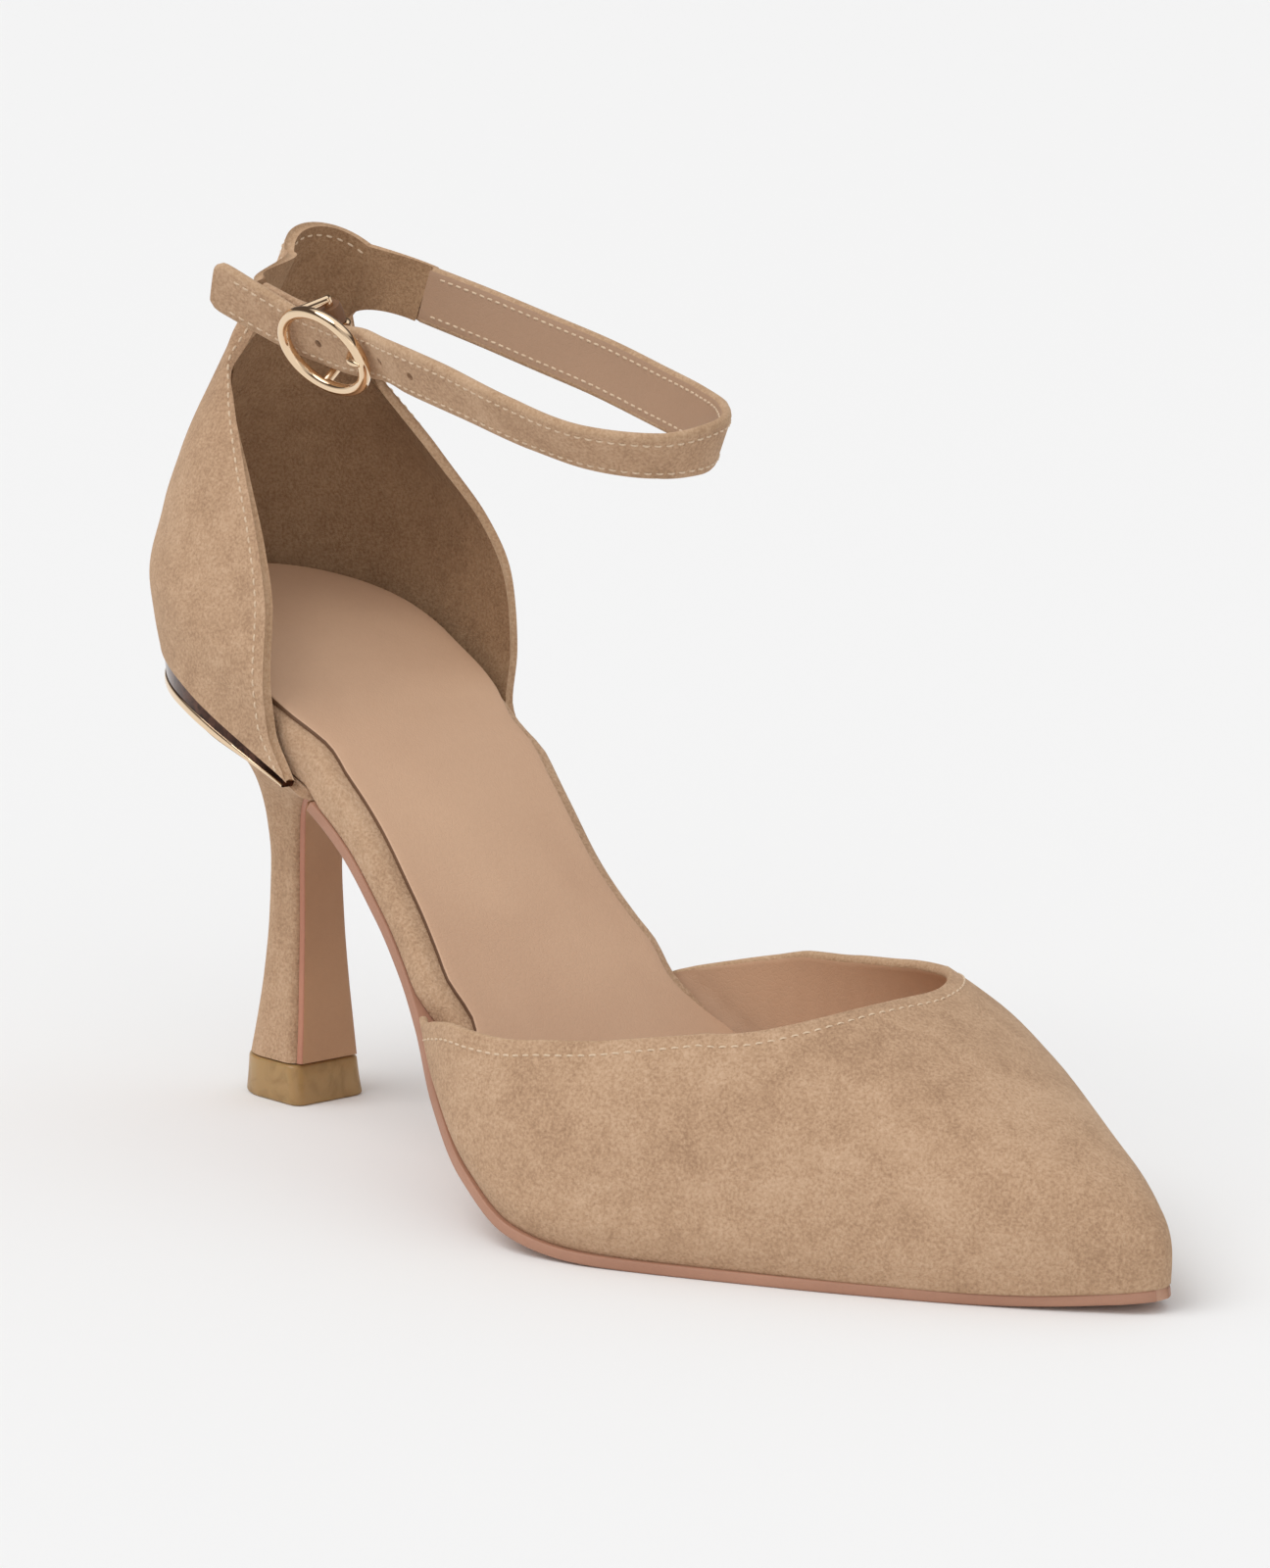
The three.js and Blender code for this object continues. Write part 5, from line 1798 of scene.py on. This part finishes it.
@dataclass
class Upper:
    """Vamp and counter, each a wall of suede and lining, with their seams."""

    shoe: Shoe
    vamp_columns: int = 5            # columns of the mesh for each of the vamp's columns
    vamp_rows: int = 44
    vamp_seam: float = 2.3           # its stitches below the topline
    ripple: float = 0.10             # unevenness of the vamp's lining
    cup_columns: int = 150
    arm_columns: int = 34
    cup_rows: int = 56
    arm_rows: int = 16
    front_seam: float = 2.8          # stitches behind the counter's front edges
    collar_seam: float = 1.7         # stitches below the collar and along the arms
    wave: float = 0.22               # softness of the counter's side
    sharp: float = 75.0              # edges stay sharp past this angle

    def build(self) -> None:
        """Makes the vamp and the counter."""
        self.vamp()
        self.counter()

    def vamp(self) -> None:
        """Makes the vamp with its soft creases and the seam under its topline."""
        per_column, rows = self.vamp_columns, self.vamp_rows
        count = 2 * HALF_COLUMNS * per_column
        index = np.arange(count + 1) / per_column
        foot_share, foot_angle, head_share, head_angle = vamp_ends(index)
        from_sides = np.clip(np.minimum(index, 2 * HALF_COLUMNS - index) / SIDE_COLUMNS - 1, 0, 1)
        t = (np.arange(rows + 1) / rows)[None, :] ** (1 + 0.7 * from_sides[:, None])
        share = lerp(foot_share[:, None], head_share[:, None], t)
        angle = lerp(foot_angle[:, None], head_angle[:, None], t)
        outer = last_point(share, angle, 0.0)
        inner = last_point(share, angle, UPPER_WALL)
        out = unit(outer - inner)
        edge = np.minimum(1, (1 - t) * rows / 9) * np.minimum(1, t * rows / 6)
        outer = outer - out * (crease_depth(share, angle) * edge)[..., None]
        ripple = np.sin(share * 310 + angle * 3) * np.sin(angle * 9 + share * 40)
        inner = inner + out * (self.ripple * ripple * edge)[..., None]
        ids = np.arange(outer.shape[0] * outer.shape[1]).reshape(outer.shape[:2])
        half, tip = HALF_COLUMNS * per_column, TIP_COLUMNS * per_column
        for i in range(half + 1, half + tip + 1):
            ids[i, 0] = ids[2 * half - i, 0]
        present = np.ones((outer.shape[0] - 1, outer.shape[1] - 1), dtype=bool)
        sheet = shell(outer, inner, present, ids)
        self.shoe.piece(
            "vamp_suede", sheet, [Finish.SUEDE, Finish.LEATHER, Finish.RAW_EDGE],
            ["vamp"], "vamp", self.sharp,
        )
        lines, normals = outer[6:-6, ::-1], out[6:-6, ::-1]
        path, normal = inset_path(lines, normals, self.vamp_seam)
        seam = stitches(path, normal, 1)
        self.shoe.piece("vamp_topline_stitches", seam, [Finish.THREAD], slot="vamp")

    def counter(self) -> None:
        """Makes the counter, its two collar arms and the seams along their edges."""
        cup, arm, low, high = self.cup_columns, self.arm_columns, self.cup_rows, self.arm_rows
        cup_levels = np.linspace(0, ARM_LEVEL, low + 1)
        levels = np.concatenate([cup_levels, np.linspace(ARM_LEVEL, 1, high + 1)[1:]])
        turn = np.linspace(-1, 1, cup + 1)
        steps = (np.arange(1, arm + 1) / arm) ** 1.4

        def grid(depth: float) -> np.ndarray:
            """Returns the grid of the arms and the cup a depth inside the outer face."""
            depths = depth * np.ones((cup + 1, len(levels)))
            middle = cup_point(turn[:, None], levels[None, :], depths)
            along = steps[:, None] * np.ones(len(levels))
            lateral, medial = (arm_point(side, along, levels[None, :], depth) for side in (-1, 1))
            return np.concatenate([lateral[::-1], middle, medial])

        outer, inner = grid(0.0), grid(UPPER_WALL)
        present = np.ones((cup + 2 * arm, low + high), dtype=bool)
        present[:arm, :low] = False
        present[arm + cup:, :low] = False
        out = unit(outer - inner)
        x, z = outer[..., 0], outer[..., 2]
        wave = self.wave * np.sin(z * 0.21 + x * 0.13) * np.sin(x * 0.17 - z * 0.07)
        calm = smooth(z, 84, 96) * (1 - smooth(z, 132, 142))
        outer = outer + out * (wave * calm)[..., None]
        # The counter's inside takes lining suede darkened with painted shade
        sheet = shell(outer, inner, present)
        self.shoe.piece(
            "counter_suede", sheet, [Finish.SUEDE, Finish.LINING_SUEDE, Finish.RAW_EDGE],
            ["counter"], "counter", self.sharp,
        )
        lateral, medial = slice(arm, arm + 16), slice(arm + cup, arm + cup - 16, -1)
        runs = []
        for part in (lateral, medial):
            front = (part, slice(None, low + 1))
            lines, normals = outer[front].swapaxes(0, 1), out[front].swapaxes(0, 1)
            runs.append((lines, normals, self.front_seam))
        top, fore, aft = slice(None, low - 1, -1), slice(None, arm + 3), slice(arm + cup - 2, None)
        for part in ((slice(None), top), (fore, slice(low, None)), (aft, slice(low, None))):
            runs.append((outer[part], out[part], self.collar_seam))
        for number, (lines, normals, inset) in enumerate(runs):
            path, normal = inset_path(lines, normals, inset)
            name = f"counter_stitches_{number + 1}"
            seam = stitches(path, normal, 10 + number)
            self.shoe.piece(name, seam, [Finish.THREAD], slot="counter")
        lines, normals = inner[arm:-arm, top], -out[arm:-arm, top]
        path, normal = inset_path(lines, normals, self.collar_seam)
        seam = stitches(path, normal, 20)
        self.shoe.piece("collar_inner_stitches", seam, [Finish.THREAD], slot="counter")


@dataclass
class Heel:
    """Heel block, breast, top lift and the metal band round the seat."""

    shoe: Shoe
    rings: int = 91                  # rings of the heel block
    back_points: int = 81            # points of a ring's round back and sides
    front_points: int = 7            # points of its flat front
    corner: float = 1.9
    corner_share: float = 0.25
    rim_in: float = 1.6              # heel's rim inside the seat's outline
    core_behind: float = 0.6         # heel's part inside the band, behind the breast
    breast_rings: int = 101
    breast_share: float = 0.86       # breast's width over the heel's
    breast_rim: float = 3.0          # bare suede beside the breast at its top
    breast_behind: float = 0.9       # breast's top behind the heel's front
    breast_gap: float = 0.05         # gap behind the leather
    lift_height: float = 7.0
    lift_head: tuple[float, float, float] = (32.2, 14.6, 15.4)
    band_rings: int = 181
    band_reach: float = 0.985        # how far round the seat the metal band goes
    band_height: float = 6.4         # at the back seam
    band_tip: float = 1.0            # and at its two front tips
    band_taper: float = 0.8          # how far its lower edge stands in at the back seam
    band_tip_taper: float = -0.2
    band_depth: float = 2.2          # how far it reaches in under the counter
    band_inset: float = 0.5          # its upper edge behind the counter's outside
    lip_height: float = 1.5
    lip_out: float = 0.3

    def build(self) -> None:
        """Makes the four pieces."""
        self.block()
        self.breast()
        self.lift()
        self.band()

    def ring(
        self,
        front: float,
        back: float,
        half: float,
        side: float,
        height_at: Callable[[np.ndarray], np.ndarray],
    ) -> np.ndarray:
        """Returns a ring with a round back and a flat front with soft corners.

        Args:
            front: Its front, in the heel frame.
            back: Its back.
            half: Half its width.
            side: How far its middle stands to the medial side.
            height_at: Gives its height at places along the shoe.

        Returns:
            The ring's points.
        """
        corner = min(self.corner, half * self.corner_share)
        long = half * CUP_ROUNDNESS
        widest = back + long
        end = math.pi / 2 + (front - corner - widest) / long
        turn = np.linspace(-1, 1, self.back_points)
        size = np.abs(turn) * end
        curved = size < math.pi / 2
        x = np.where(curved, widest - long * np.cos(size), widest + long * (size - math.pi / 2))
        y = np.sign(turn) * half * np.where(curved, np.sin(size), 1)
        bend = np.linspace(0, math.pi / 2, 6)[1:]
        corner_x = front - corner + corner * np.sin(bend)
        corner_y = half - corner * (1 - np.cos(bend))
        flat = np.linspace(1, -1, self.front_points + 2)[1:-1] * (half - corner)
        x = np.concatenate([x, corner_x, np.full(self.front_points, front), corner_x[::-1]])
        y = np.concatenate([y, corner_y, flat, -corner_y[::-1]])
        return points(x, side + y, height_at(x))

    def band_at(self, x: np.ndarray) -> tuple[np.ndarray, np.ndarray]:
        """Returns the height and the taper of the metal band along the shoe.

        Args:
            x: Places along the shoe, in the heel frame.

        Returns:
            The heights and the tapers.
        """
        back = (1 - smooth(x, 0, BREAST_TOP)) ** 0.8
        height = lerp(self.band_tip, self.band_height, back)
        return height, lerp(self.band_tip_taper, self.band_taper, back)

    def row(self, step: float) -> dict[str, float]:
        """Returns the sizes of the heel's ring at a step of the table.

        Args:
            step: The step, which may lie between two rows.

        Returns:
            The sizes by name, in millimetres.
        """

        def value(name: str) -> float:
            """Returns one column's value."""
            return float(HEEL.value(name, np.array(step, dtype=float)))

        return {
            "front": value("front") * COUNTER_DEPTH,
            "back": value("back") * COUNTER_DEPTH,
            "front_height": value("front_height") * HEEL_RISE,
            "back_height": value("back_height") * HEEL_RISE,
            "half": value("width") * SEAT_HALF,
            "side": value("side") * HEEL_SIDE,
        }

    def block(self) -> None:
        """Makes the suede covered heel."""

        def under_band(x: np.ndarray) -> np.ndarray:
            """Returns the height just below the band's lower edge."""
            return bottom_height(x) - self.band_at(x)[0] - CLEARANCE * 0.3

        def under_seat(x: np.ndarray) -> np.ndarray:
            """Returns the height just below the footbed."""
            return bottom_height(x) - CLEARANCE

        rings = []
        for step in np.linspace(0, HEEL.rows[-1, 0], self.rings):
            row = self.row(step)

            def height(x: np.ndarray, row: dict[str, float] = row) -> np.ndarray:
                """Returns the ring's height along the shoe."""
                share = (x - row["back"]) / (row["front"] - row["back"])
                return lerp(row["back_height"], row["front_height"], share)

            rings.append(self.ring(row["front"], row["back"], row["half"], row["side"], height))
        rim, step = self.rim_in, self.band_depth + self.band_inset + 2 * CLEARANCE
        core = (BREAST_TOP - self.core_behind, SEAT_BACK + step, SEAT_HALF - step, 0)
        rings.append(self.ring(BREAST_TOP, SEAT_BACK + rim, SEAT_HALF - rim, 0, under_band))
        rings.append(self.ring(*core, under_band))
        rings.append(self.ring(*core, under_seat))
        sheet = loft(np.array(rings))
        self.shoe.piece("heel_suede", sheet, [Finish.SUEDE], ["heel_block"], "heel_block")

    def breast(self) -> None:
        """Makes the leather panel on the heel's front, its edges painted."""
        last = HEEL.rows[-1, 0]
        top_height = float(bottom_height(BREAST_TOP)) - self.band_tip - CLEARANCE

        def face(step: float) -> np.ndarray:
            """Returns the heel's front at a step: place, height, half width and side."""
            row = self.row(min(step, last))
            past = max(0.0, step - last)
            return np.array([
                lerp(row["front"], BREAST_TOP - self.breast_behind, past),
                lerp(row["front_height"], top_height, past),
                lerp(row["half"] * self.breast_share, SEAT_HALF - self.breast_rim, past),
                row["side"] * (1 - past),
            ])

        gap, outer = self.breast_gap, CLEARANCE + BREAST
        section = [(-1, gap), (-1, outer - 0.3), (-0.985, outer - 0.08)]
        section += [(share, outer) for share in np.linspace(-0.96, 0.96, 13)]
        section += [(0.985, outer - 0.08), (1, outer - 0.3), (1, gap)]
        section += [(share, gap) for share in np.linspace(0.9, -0.9, 5)]
        rings = []
        for step in np.linspace(0, last + 1, self.breast_rings):
            x, z, half, side = face(step)
            before, after = face(max(step - 0.1, 0)), face(min(step + 0.1, last + 1))
            way = after[:2] - before[:2]
            way /= np.hypot(*way)
            normal = np.array([way[1], 0, -way[0]])
            rings.append([
                np.array([x, side + share * half, z]) + normal * off for share, off in section
            ])

        def painted(_: int, j: int) -> int:
            """Returns 1 for faces of the painted edges and 0 for the rest."""
            return 1 if j < 3 or 14 < j < 19 else 0

        sheet = loft(np.array(rings), finish=painted)
        self.shoe.piece(
            "breast_leather", sheet, [Finish.BREAST, Finish.BREAST_EDGE],
            ["heel_breast"], "heel_breast",
        )

    def lift(self) -> None:
        """Makes the rubber top lift with softened edges."""
        rounding = (
            (0.0, 0.45), (0.03, 0.15), (0.07, 0.0), (0.5, 0.05), (0.93, 0.0), (0.97, 0.12),
            (1.0, 0.4),
        )
        rings = []
        for share, shrink in rounding:
            front, back, width = (lerp(a, b, share) for a, b in zip(LIFT_FOOT, self.lift_head))
            side = HEEL_SIDE * lerp(LIFT_SIDE, 1.0, share)

            def height(x: np.ndarray, z: float = share * self.lift_height) -> np.ndarray:
                """Returns the ring's height, the same all round."""
                return np.full_like(x, z)

            rings.append(self.ring(front - shrink, back + shrink, width / 2 - shrink, side, height))
        sheet = loft(np.array(rings))
        self.shoe.piece("top_lift_rubber", sheet, [Finish.RUBBER], ["top_lift"], "top_lift")

    def band(self) -> None:
        """Makes the polished band with the lip that stands out along its lower edge."""
        turn = np.linspace(-self.band_reach, self.band_reach, self.band_rings)
        level, step = np.zeros_like(turn), 0.003
        place = cup_place(turn, level)
        across = cup_place(turn + step, level) - cup_place(turn - step, level)
        outward = unit(points(-across[:, 1], across[:, 0], level))
        height, taper = self.band_at(place[:, 0])
        lip = np.minimum(self.lip_height, height * 0.4)
        wall = -taper - self.lip_out
        rows = [
            (level - self.band_inset, level + 0.05),
            ((wall - self.band_inset) / 2, (height - lip) * 0.5),
            (wall, height - lip),
            (wall + self.lip_out * 0.6, height - lip * 0.95),
            (wall + self.lip_out * 0.9, height - lip * 0.84),
            (-taper, height - lip * 0.65),
            (-taper, height - lip * 0.25),
            (-taper - 0.07, height - lip * 0.08),
            (-taper - 0.25, height),
            (level - self.band_depth, height),
            (level - self.band_depth - self.band_inset, level + CLEARANCE),
        ]
        ring = []
        for out, down in rows:
            at = place + outward * out[:, None]
            ring.append(points(at[:, 0], at[:, 1], bottom_height(at[:, 0]) - down))

        def side(_: int, j: int) -> int:
            """Returns 1 for faces of the band's wall, which has the painted reflection, and 0 for
            the lip and the rest.
            """
            return 1 if j < 2 else 0

        self.shoe.piece(
            "seat_band_gold", loft(np.stack(ring, axis=1), finish=side),
            [Finish.GOLD, Finish.BAND_WALL], ["heel_plate"], "heel_plate", 35,
        )


@dataclass
class Strap:
    """Ankle strap, billet, buckle ring and prong."""

    shoe: Shoe
    hole_width: float = 1.5
    hole_spacing: float = 8.8
    hole_slack: float = 0.3          # room round the prong in its hole
    seam_inset: float = 1.7          # stitches inside the strap's edges
    tip_corner: float = 2.6          # length of the tail's rounded tip
    tip_narrowing: float = 2.2
    wire_sides: int = 16
    ring_sides: int = 20
    ring_points: int = 120
    eye_sides: int = 28
    sharp: float = 70.0              # edges stay sharp past this angle

    def build(self) -> None:
        """Makes the strap and its buckle."""
        self.strap()
        self.billet()
        self.ring()
        self.prong()

    def stops(self) -> list[tuple[np.ndarray, float]]:
        """Returns the strap's stops: round the ankle, under the ring and out to the tail."""
        loop = [
            (np.array([
                SEAM[0] + row[0] * STRAP_REACH, row[1] * STRAP_SPREAD,
                SEAM[1] - row[2] * STRAP_DROP,
            ]), row[3])
            for row in ROUTE.rows
        ]
        side = BUCKLE_LENGTH / 2 - BUCKLE_WIRE / 2
        through = [
            (-side, 0, -0.3), (-1.5, STRAP_DIP, -1.1), (BAR_BEHIND, STRAP_DIP, -0.5),
            (side, 0, 0.9),
        ]
        return [
            *loop,
            *((in_buckle(*place), BUCKLE_LEAN) for place in through),
            (in_buckle(*TAIL), TAIL_LEAN),
        ]

    def prong_path(self) -> np.ndarray:
        """Returns the prong's line: round the bar, under the strap and up through its hole."""
        ring_depth = STRAP_THICKNESS / 2 + 2 * CLEARANCE + BUCKLE_WIRE / 2
        loop = []
        for degrees in range(250, 0, -25):
            angle = math.radians(degrees)
            loop.append((
                BAR_BEHIND + PRONG_LOOP * math.sin(angle), BAR_DEPTH + PRONG_LOOP * math.cos(angle),
            ))
        under = BAR_DEPTH + PRONG_LOOP
        rest = ring_depth + RING_BOW / 2 + BUCKLE_WIRE / 2 - 0.1
        bend = PRONG_WIRE
        leg = [
            (BAR_BEHIND, under), (0, under),
            (bend * 1.3 - PRONG_HOLE, under), (bend * 0.6 - PRONG_HOLE, under * 0.7),
            (-PRONG_HOLE, 0),
            (-PRONG_HOLE - bend * 0.8, rest * 0.5), (-PRONG_HOLE - bend * 1.7, rest * 0.85),
            (-(BUCKLE_LENGTH - PRONG_WIRE) / 2, rest),
        ]
        return np.array([in_buckle(along, out) for along, out in [*loop, *leg]])

    def strap(self) -> None:
        """Makes the strap with its holes and its two rows of stitches."""
        frames = frames_along(self.stops(), 18)
        count = len(frames.centre)
        steps = np.linalg.norm(np.diff(frames.centre, axis=0), axis=1)
        left = np.concatenate([np.cumsum(steps[::-1])[::-1], [0]])
        past = 1 - np.minimum(left, self.tip_corner) / self.tip_corner
        curve = np.sqrt(np.clip(1 - past**2, 0, 1))
        grid = band(frames, STRAP_WIDTH - self.tip_narrowing * (1 - curve), STRAP_THICKNESS)

        def face(_: int, j: int) -> int:
            """Returns 0 for faces outside, 1 for those inside and 2 for the edges."""
            if j < 8:
                return 0
            return 1 if 12 <= j < 20 else 2

        sheet = loft(grid, finish=face)
        strap = self.shoe.piece(
            "strap_suede", sheet, [Finish.SUEDE, Finish.STRAP_LINING, Finish.RAW_EDGE],
            ["ankle_strap"], "ankle_strap", self.sharp,
        )
        self.punch(strap, frames)
        first, last = 3, count - 4
        across = STRAP_WIDTH / 2 - self.seam_inset
        for number, (side, way) in enumerate(((1, 1), (-1, 1), (1, -1), (-1, -1))):
            path = frames.at(0, way * STRAP_THICKNESS / 2 * 0.97, side * across)
            seam = stitches(path[first:last], way * frames.out[first:last], 30 + number)
            name = f"strap_stitches_{number + 1}"
            self.shoe.piece(name, seam, [Finish.THREAD], slot="ankle_strap")

    def punch(self, strap: bpy.types.Object, frames: Frames) -> None:
        """Cuts the strap's holes, the prong's among them.

        Args:
            strap: The strap's object.
            frames: The frames that the strap follows.
        """
        cutters = None
        along = (frames.centre - BUCKLE.centre[0]) @ BUCKLE.along[0]
        lateral = np.where(frames.centre[:, 1] < BUCKLE_AT[1] / 2, 0.0, 1e6)
        for number in (1, -1, -2):
            place = self.hole_spacing * number - PRONG_HOLE
            best = int(np.argmin(np.abs(along - place) + lateral))
            path = np.array([frames.at(0, out)[best] for out in (-3, 0, 3)])
            piece = loft(wire(path, self.hole_width, sides=20))
            cutters = piece if cutters is None else cutters.join(piece)
        path = catmull(self.prong_path()[-7:-1], 6)
        slot = wire(path, PRONG_WIRE + self.hole_slack, sides=self.wire_sides)
        cutters = cutters.join(loft(slot))
        mesh = bpy.data.meshes.new("cutters")
        vertices = (cutters.vertices + self.shoe.shift) * MM
        mesh.from_pydata(vertices.tolist(), [], cutters.faces)
        tool = bpy.data.objects.new("cutters", mesh)
        bpy.context.scene.collection.objects.link(tool)
        modifier = strap.modifiers.new("holes", "BOOLEAN")
        modifier.operation = "DIFFERENCE"
        modifier.solver = "EXACT"
        modifier.object = tool
        bpy.context.view_layer.update()
        shape = strap.evaluated_get(bpy.context.evaluated_depsgraph_get())
        cut = bpy.data.meshes.new_from_object(shape)
        strap.modifiers.clear()
        strap.data = cut
        bpy.data.objects.remove(tool)

    def billet(self) -> None:
        """Makes the short leather billet whose eye holds the bar."""
        stops = [
            (in_buckle(BAR_BEHIND + 1.3, BAR_DEPTH + 0.3), BUCKLE_LEAN),
            (in_buckle(BAR_BEHIND + 6, BAR_DEPTH + 0.9), BUCKLE_LEAN),
            (in_buckle(*BILLET_END), BILLET_LEAN),
        ]
        grid = band(frames_along(stops, 24), BILLET_WIDTH, STRAP_THICKNESS)
        sheet = loft(grid)
        half = BILLET_WIDTH / 2
        gap = PRONG_WIRE / 2 + CLEARANCE
        for low, high in ((-half, -gap), (gap, half)):
            heights = np.linspace(low, high, 5)
            path = np.array([in_buckle(BAR_BEHIND, BAR_DEPTH, up) for up in heights])
            swell = 2 * EYE_RADIUS * np.array([0.93, 1.0, 1.0, 1.0, 0.93])
            eye = loft(wire(path, swell, sides=self.eye_sides))
            # The eye round the bar takes billet leather darkened with painted shade
            eye.finish = [1] * len(eye.faces)
            sheet = sheet.join(eye)
        self.shoe.piece(
            "billet_leather", sheet, [Finish.SUEDE, Finish.BILLET],
            ["buckle_billet"], "buckle_billet", self.sharp,
        )

    def ring(self) -> None:
        """Makes the oval ring with its bar and the bar's two posts."""
        depth = STRAP_THICKNESS / 2 + 2 * CLEARANCE + BUCKLE_WIRE / 2
        oval = []
        for turn in np.linspace(0, 2 * math.pi, self.ring_points, endpoint=False):
            along = math.cos(turn) * (BUCKLE_LENGTH - BUCKLE_WIRE) / 2
            up = math.sin(turn) * (BUCKLE_WIDTH - BUCKLE_WIRE) / 2
            oval.append(in_buckle(
                along * math.cos(RING_TILT) + up * math.sin(RING_TILT),
                depth + RING_BOW * math.cos(turn) ** 2 - RING_BOW / 2,
                up * math.cos(RING_TILT) - along * math.sin(RING_TILT),
            ))
        sheet = loft(wire(np.array(oval), BUCKLE_WIRE, True, self.ring_sides), closed=True)
        at = math.acos(BAR_BEHIND / ((BUCKLE_LENGTH - BUCKLE_WIRE) / 2))
        reach = math.sin(at) * (BUCKLE_WIDTH - BUCKLE_WIRE) / 2
        end = BILLET_WIDTH / 2 + CLEARANCE + BAR_WIRE / 2
        for side in (1, -1):
            head = in_buckle(BAR_BEHIND, depth - RING_BOW / 2, side * reach)
            foot = in_buckle(BAR_BEHIND, BAR_DEPTH, side * end)
            path = lerp(head, foot, np.linspace(0, 1, 8)[:, None])
            sheet = sheet.join(loft(wire(path, BAR_WIRE, sides=self.wire_sides)))
        stop = end + BAR_WIRE / 3
        heights = np.linspace(-stop, stop, 12)
        path = np.array([in_buckle(BAR_BEHIND, BAR_DEPTH, up) for up in heights])
        sheet = sheet.join(loft(wire(path, BAR_WIRE, sides=self.wire_sides)))
        self.shoe.piece("buckle_ring_gold", sheet, [Finish.GOLD], ["buckle_ring"], "buckle_ring")

    def prong(self) -> None:
        """Makes the prong, its tip rounded and resting on the ring."""
        path = catmull(self.prong_path(), 6)
        count = len(path)
        thickness = PRONG_WIRE * np.ones(count)
        thickness[-4:] = PRONG_WIRE * np.array([0.97, 0.88, 0.68, 0.35])
        sheet = loft(wire(path, thickness, sides=self.wire_sides))
        self.shoe.piece("prong_gold", sheet, [Finish.GOLD], ["buckle_prong"], "buckle_prong")


@dataclass(frozen=True)
class Sun:
    """A soft lamp: the way it stands from the shoe, its angle in degrees and its strength."""

    name: str
    way: tuple[float, float, float]
    spread: float
    strength: float


@dataclass
class Studio:
    """Floor, light and camera."""

    floor_half: float = 40.0         # metres
    floor_tone: Tone = (238, 238, 238)
    surround: float = 0.73           # the pale surround's light
    suns: tuple[Sun, ...] = (
        Sun("key", (-0.25, -0.6, 1.0), 40.0, 1.08),
        Sun("front", (0.7, -0.7, 0.6), 60.0, 0.35),
    )
    camera_at: tuple[float, float, float] = (632.8, -592.4, 222.8)
    aim: tuple[float, float, float] = (2.36, 0.0, 68.11)
    lens: float = 123.24
    roll: float = 0.64               # degrees

    def build(self) -> None:
        """Makes the floor, the lights and the camera."""
        self.floor()
        self.lights()
        self.camera()

    def floor(self) -> None:
        """Makes the pale floor."""
        mesh = bpy.data.meshes.new("floor")
        far = self.floor_half
        corners = [(-far, -far, 0), (far, -far, 0), (far, far, 0), (-far, far, 0)]
        mesh.from_pydata(corners, [], [(0, 1, 2, 3)])
        material = bpy.data.materials.new("pale_floor")
        material.use_nodes = True
        shader = material.node_tree.nodes["Principled BSDF"]
        Nodes(material.node_tree).fill(shader, {
            "Base Color": colour(*self.floor_tone), "Roughness": 1.0, "Specular IOR Level": 0.1,
        })
        mesh.materials.append(material)
        floor = bpy.data.objects.new("floor", mesh)
        bpy.context.scene.collection.objects.link(floor)

    def lights(self) -> None:
        """Makes soft lights and a pale surround with a darker upper half for the metal."""
        scene = bpy.context.scene
        world = bpy.data.worlds.new("studio")
        world.use_nodes = True
        scene.world = world
        nodes = Nodes(world.node_tree)
        back = world.node_tree.nodes["Background"]
        path = nodes.new("ShaderNodeLightPath")
        where = nodes.new("ShaderNodeTexCoord").outputs["Generated"]
        split = nodes.new("ShaderNodeSeparateXYZ", {"Vector": where})
        high = nodes.stretch(split.outputs["Z"], 0.12, 0.30)
        top = nodes.stretch(split.outputs["Z"], 0.72, 0.85)
        dark = nodes.mix(high, (0.80, 0.80, 0.80, 1), (0.10, 0.08, 0.07, 1))
        dark = nodes.mix(top, dark, (1.0, 1.0, 1.0, 1))
        pale = (self.surround, self.surround, self.surround, 1)
        tone = nodes.mix(path.outputs["Is Glossy Ray"], pale, dark)
        nodes.fill(back, {"Color": tone, "Strength": 1.0})
        for sun in self.suns:
            data = bpy.data.lights.new(sun.name, "SUN")
            data.angle = math.radians(sun.spread)
            data.energy = sun.strength
            lamp = bpy.data.objects.new(sun.name, data)
            lamp.rotation_euler = Vector(sun.way).to_track_quat("Z", "Y").to_euler()
            scene.collection.objects.link(lamp)
        scene.view_settings.view_transform = "Standard"
        scene.view_settings.look = "None"

    def camera(self) -> None:
        """Makes the camera at the photograph's place, aimed at the one shoe."""
        data = bpy.data.cameras.new("camera")
        data.sensor_fit = "AUTO"
        data.sensor_width = 36.0
        data.lens = self.lens
        data.clip_end = 200.0
        camera = bpy.data.objects.new("camera", data)
        place = Vector(self.camera_at) * MM
        aim = Vector(self.aim) * MM
        turn = (aim - place).to_track_quat("-Z", "Y").to_matrix().to_4x4()
        roll = Matrix.Rotation(math.radians(self.roll), 4, "Z")
        camera.matrix_world = Matrix.Translation(place) @ turn @ roll
        bpy.context.scene.collection.objects.link(camera)
        bpy.context.scene.camera = camera


def main() -> None:
    """Builds the shoe round its frame."""
    logging.basicConfig(level=logging.INFO, format="%(message)s")
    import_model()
    shoe = Shoe.on_frame()
    Studio().build()
    Sole(shoe).build()
    Upper(shoe).build()
    Heel(shoe).build()
    Strap(shoe).build()
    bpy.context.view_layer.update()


if __name__ == "__main__":
    main()
